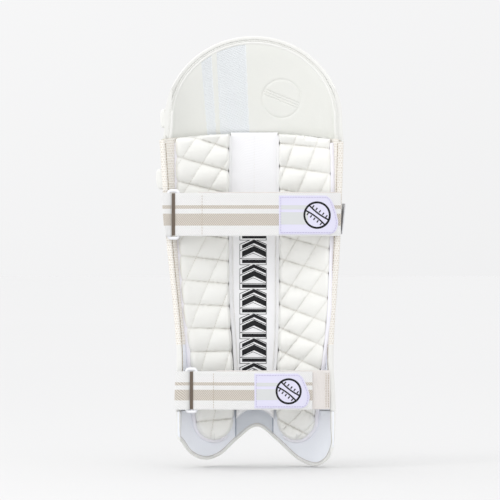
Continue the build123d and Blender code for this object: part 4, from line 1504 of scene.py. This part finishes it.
# %% Two grey bars on the patch
def patch_bars(name, strap):
    """They carry the two stripes of the tape on across the patch."""

    def over(a, b):
        return on_patch(strap, a, b, 0.42 * MM)

    bars = []
    for number, (x0, x1, z0, z1) in enumerate(strap["bars"]):

        def inlay(u, v, x0=x0, x1=x1, z0=z0, z1=z1):
            return x0 + (x1 - x0) * u, z0 + (z1 - z0) * v

        bars.append(printed(f"{name}_bar_{number}", over, inlay, INLAY, 20, 4))
    dress(join(bars, name + "_patch_bars"), strap["tail_body"], INLAY, "patch_pu")


# %% A printed ball: a ring, two curved seams and their stitches
BALL_SLANT = (0.80, 0.60)
RING_WIDTH, SEAM_WIDTH = 3.0 * MM, 2.2 * MM


def ball_mark(name, strap):
    """All in ink, with the seam turned down to the right."""
    x, z, radius = strap["ball"]

    def over(a, b):
        return on_patch(strap, a, b, 0.46 * MM)

    def slanted(run, out):
        return x + run * BALL_SLANT[0] + out * BALL_SLANT[1], z - run * BALL_SLANT[1] + out * BALL_SLANT[0]

    def ring(u, v):
        reach, turn = radius - RING_WIDTH * v, 2 * math.pi * u
        return x + reach * math.cos(turn), z + reach * math.sin(turn)

    ball = [printed(name + "_ball_ring", over, ring, INK, 48, 2)]
    for side in (-1, 1):

        def stitched(u, v, side=side):
            run = (2 * u - 1) * (radius - 2.5 * MM)
            return slanted(run, side * (3.0 * MM + 2.2 * MM * (run / radius) ** 2) + (v - 0.5) * SEAM_WIDTH)

        ball.append(printed(f"{name}_ball_seam_{side}", over, stitched, INK, 20, 2))
        for number in range(-2, 3):

            def tick(u, v, side=side, number=number):
                run = number * radius * 0.30 + (u - 0.5) * 1.8 * MM
                return slanted(run, side * (5.0 * MM + 4.0 * MM * v))

            ball.append(printed(f"{name}_tick", over, tick, INK, 3, 3))
    dress(join(ball, name + "_ball_mark"), strap["tail_body"], INK, "patch_pu")


# %% [markdown]
# ## Ring and tab
#
# The ring itself is kept from the CAD, with its round bars. A dark sheet of painted shade lies in its plane,
# in the slot between the turns of tape, and swings with it. The tab is laid as a strip of points, and
# Subdivision Surface rounds its folds.

# %% Painted shade in the ring's slot, and the tab that holds the ring
# Painted shade: a dark brown sheet stands in for the shadow deep in the ring's slot.
SLOT_SHADE = simple("painted_slot_shade", (0.15, 0.115, 0.085), 0.5, 300, 0.02 * MM)


def ring_slot_shade(name, strap):
    """A thin dark sheet in the ring's plane: painted shade seen in the slot between the two turns of tape."""

    def place(u, v):
        return Vector((strap["ring_left"] + SLOT_SHADE_GAP + (RING_SPACING - 2 * SLOT_SHADE_GAP) * u, RING_Y,
                       strap["bottom"] + 0.5 * MM + (strap["width"] - 1 * MM) * v))

    web = panel(name + "_ring_web", 6, 60, place, (0.005, strap["width"]))
    thicken(web, 1.4 * MM)
    dress(web, strap["loop_body"], SLOT_SHADE, "white_plastic")


def ring_tab(name, strap):
    """Tape from inside the rim, round the ring's outer bar, over the rim and down the outside of the wall."""
    ring_left, bottom, width = strap["ring_left"], strap["bottom"], strap["width"]
    front, back = RING_Y - FOLD_RADIUS, RING_Y + FOLD_RADIUS

    def points(z):
        rim = round_pad(-84, z, (-1.7 * MM, -1.7 * MM)).x
        run = [(rim + 6 * MM, back), ((rim + 6 * MM + ring_left) / 2, back), (ring_left - 0.5 * MM, back)]
        run += round_bar(ring_left, [90 - 22.5 * i for i in range(9)])
        run += [(ring_left - 1.5 * MM, front), ((ring_left + rim) / 2, front), (rim + 1.2 * MM, front),
                (rim, front + 1.6 * MM), (rim, -26 * MM), (rim, -20 * MM)]
        return run + [round_pad(a, z, (-1.9 * MM, -1.9 * MM)).to_2d() for a in (-80, -77, -74, -71, -68, -66)]

    count = len(points(strap["middle"]))

    def place(u, v):
        z = bottom + width - width * v
        spot = points(z)[round(u * (count - 1))]
        return Vector((spot[0], spot[1], z))

    tab = panel(name + "_tab", count - 1, 20, place, (0.085, width))
    apply(tab, "SUBSURF", levels=1)
    thicken(tab, 1.5 * MM)
    dress(tab, "shin_shell", strap["tape"], "striped_webbing", name + "_ring_anchor")


# %% Rows of stitches across a strap
def cross_stitches(name, x, y, low, high, count, radius, body):
    """An upright row of stitches at x and y, between two heights."""
    run = [Vector((x, y, low + (high - low) * i / count)) for i in range(count + 1)]
    sewing = [point + Vector((0, -0.7 * MM * LIFTS[i % len(LIFTS)], 0)) for i, point in enumerate(run)]
    dress(cord(name, sewing, radius, around=5), body, TAN_THREAD, "striped_webbing")


def strap_sewing(name, strap):
    """Two rows close the lower strap's fixed end, and one row crosses each tail."""
    low, high = strap["bottom"], strap["bottom"] + strap["width"]
    ends = (strap["base"] - 6 * MM, strap["base"] - 2.4 * MM) if name == "lower" else ()
    for number, at in enumerate(ends):
        cross_stitches(f"{name}_end_sewing_{number}", at, strap["base_y"](at) - WEBBING / 2 - 0.9 * MM,
                       low + 3 * MM, high - 3 * MM, 80, 0.4 * MM, "shin_shell")
    at = strap["sewn_at"]
    cross_stitches(f"{name}_tail_sewing_0", at, strap["tail_y"](at) - WEBBING / 2,
                   low + 2 * MM, high - 2 * MM, 84, 0.32 * MM, strap["tail_body"])


# %% Both straps, piece by piece
STEPS = (strap_tapes, strap_closure, strap_patch, patch_bars, ball_mark, ring_slot_shade, ring_tab, strap_sewing)
for name, strap in STRAPS.items():
    for make in STEPS:
        make(name, strap)

# %% [markdown]
# ## Parts kept from the CAD
#
# Rings, canes, the stiffener and the sewn reinforcement are hard or hidden, and their CAD shape is already
# the real one. They only get a finish, which reads Object coordinates because they have no UV map.

# %% Parts that keep their CAD shape
KEPT = {"cane_rods": CANE, "top_flap_stiffener": STIFF, "upper_ring": PLASTIC, "lower_ring": PLASTIC,
        "strap_reinforcement": GREY_SKIN}
for name, material in KEPT.items():
    node = nodes[name]
    if not node.material_slots:
        node.data.materials.append(material)
    for place in node.material_slots:
        place.material = material
    print(name, "keeps its shape, finished with", material.name)

# %% [markdown]
# ## The studio
#
# The floor is a wide sheet of pale paper. The room is one large soft light, a little stronger from the
# upper left, so that the quilting reads but hardly any shadow falls. Far away the paper and the room are
# equally bright, which hides the line where they meet.

# %% Floor, lamps and view
PAPER = (0.70, 0.70, 0.70)
PAPER_SIZE, PAPER_LEVEL = 160, -0.002
floor = panel("studio_floor", 8, 8,
              lambda u, v: Vector(((u - 0.5) * PAPER_SIZE, (v - 0.5) * PAPER_SIZE, PAPER_LEVEL)))
paper, paper_tree, paper_shader = new_material("studio_paper", PAPER, 0.95, Specular_IOR_Level=0.0)
paper_grain = add_node(paper_tree, "TexNoise", {"Scale": 30.0})
paper_shade = blend_colour(paper_tree, paper_grain.outputs[0], (0.695, 0.695, 0.695), (0.705, 0.705, 0.705))
paper_tree.links.new(paper_shade, paper_shader.inputs["Base Color"])
floor.data.materials.append(paper)


def lamp(name, spot, aim, size, power):
    """A square soft lamp at spot that faces aim."""
    deselect()
    bpy.ops.object.light_add(type="AREA", location=spot)
    light = bpy.context.object
    light.name = name
    light.data.size = size
    light.data.energy = power
    light.rotation_euler = (Vector(aim) - Vector(spot)).to_track_quat("-Z", "Y").to_euler()
    return light


lamp("key_lamp", (-1.9, -1.4, 1.7), (0, 0, 0.33), 0.7, 7)

# The room's light by direction: LEVEL all round, and SWING more towards BRIGHT_SIDE.
BRIGHT_SIDE, SWING, LEVEL = (-0.34, -0.25, 0.90), 0.46, 1.01
world = bpy.data.worlds.new("soft_room")
bpy.context.scene.world = world
world.use_nodes = True
room = world.node_tree
ray = room.nodes.new("ShaderNodeTexCoord")
facing = room.nodes.new("ShaderNodeVectorMath")
facing.operation = "DOT_PRODUCT"
facing.inputs[1].default_value = BRIGHT_SIDE
room.links.new(ray.outputs["Generated"], facing.inputs[0])
glow = room.nodes.new("ShaderNodeMath")
glow.operation = "MULTIPLY_ADD"
glow.inputs[1].default_value, glow.inputs[2].default_value = SWING, LEVEL
room.links.new(facing.outputs["Value"], glow.inputs[0])
background = room.nodes["Background"]
background.inputs[0].default_value = (0.995, 0.995, 1.0, 1)
room.links.new(glow.outputs[0], background.inputs[1])
bpy.context.scene.view_settings.view_transform = "Standard"
bpy.context.scene.view_settings.look = "None"
bpy.context.scene.view_settings.exposure = 0.0
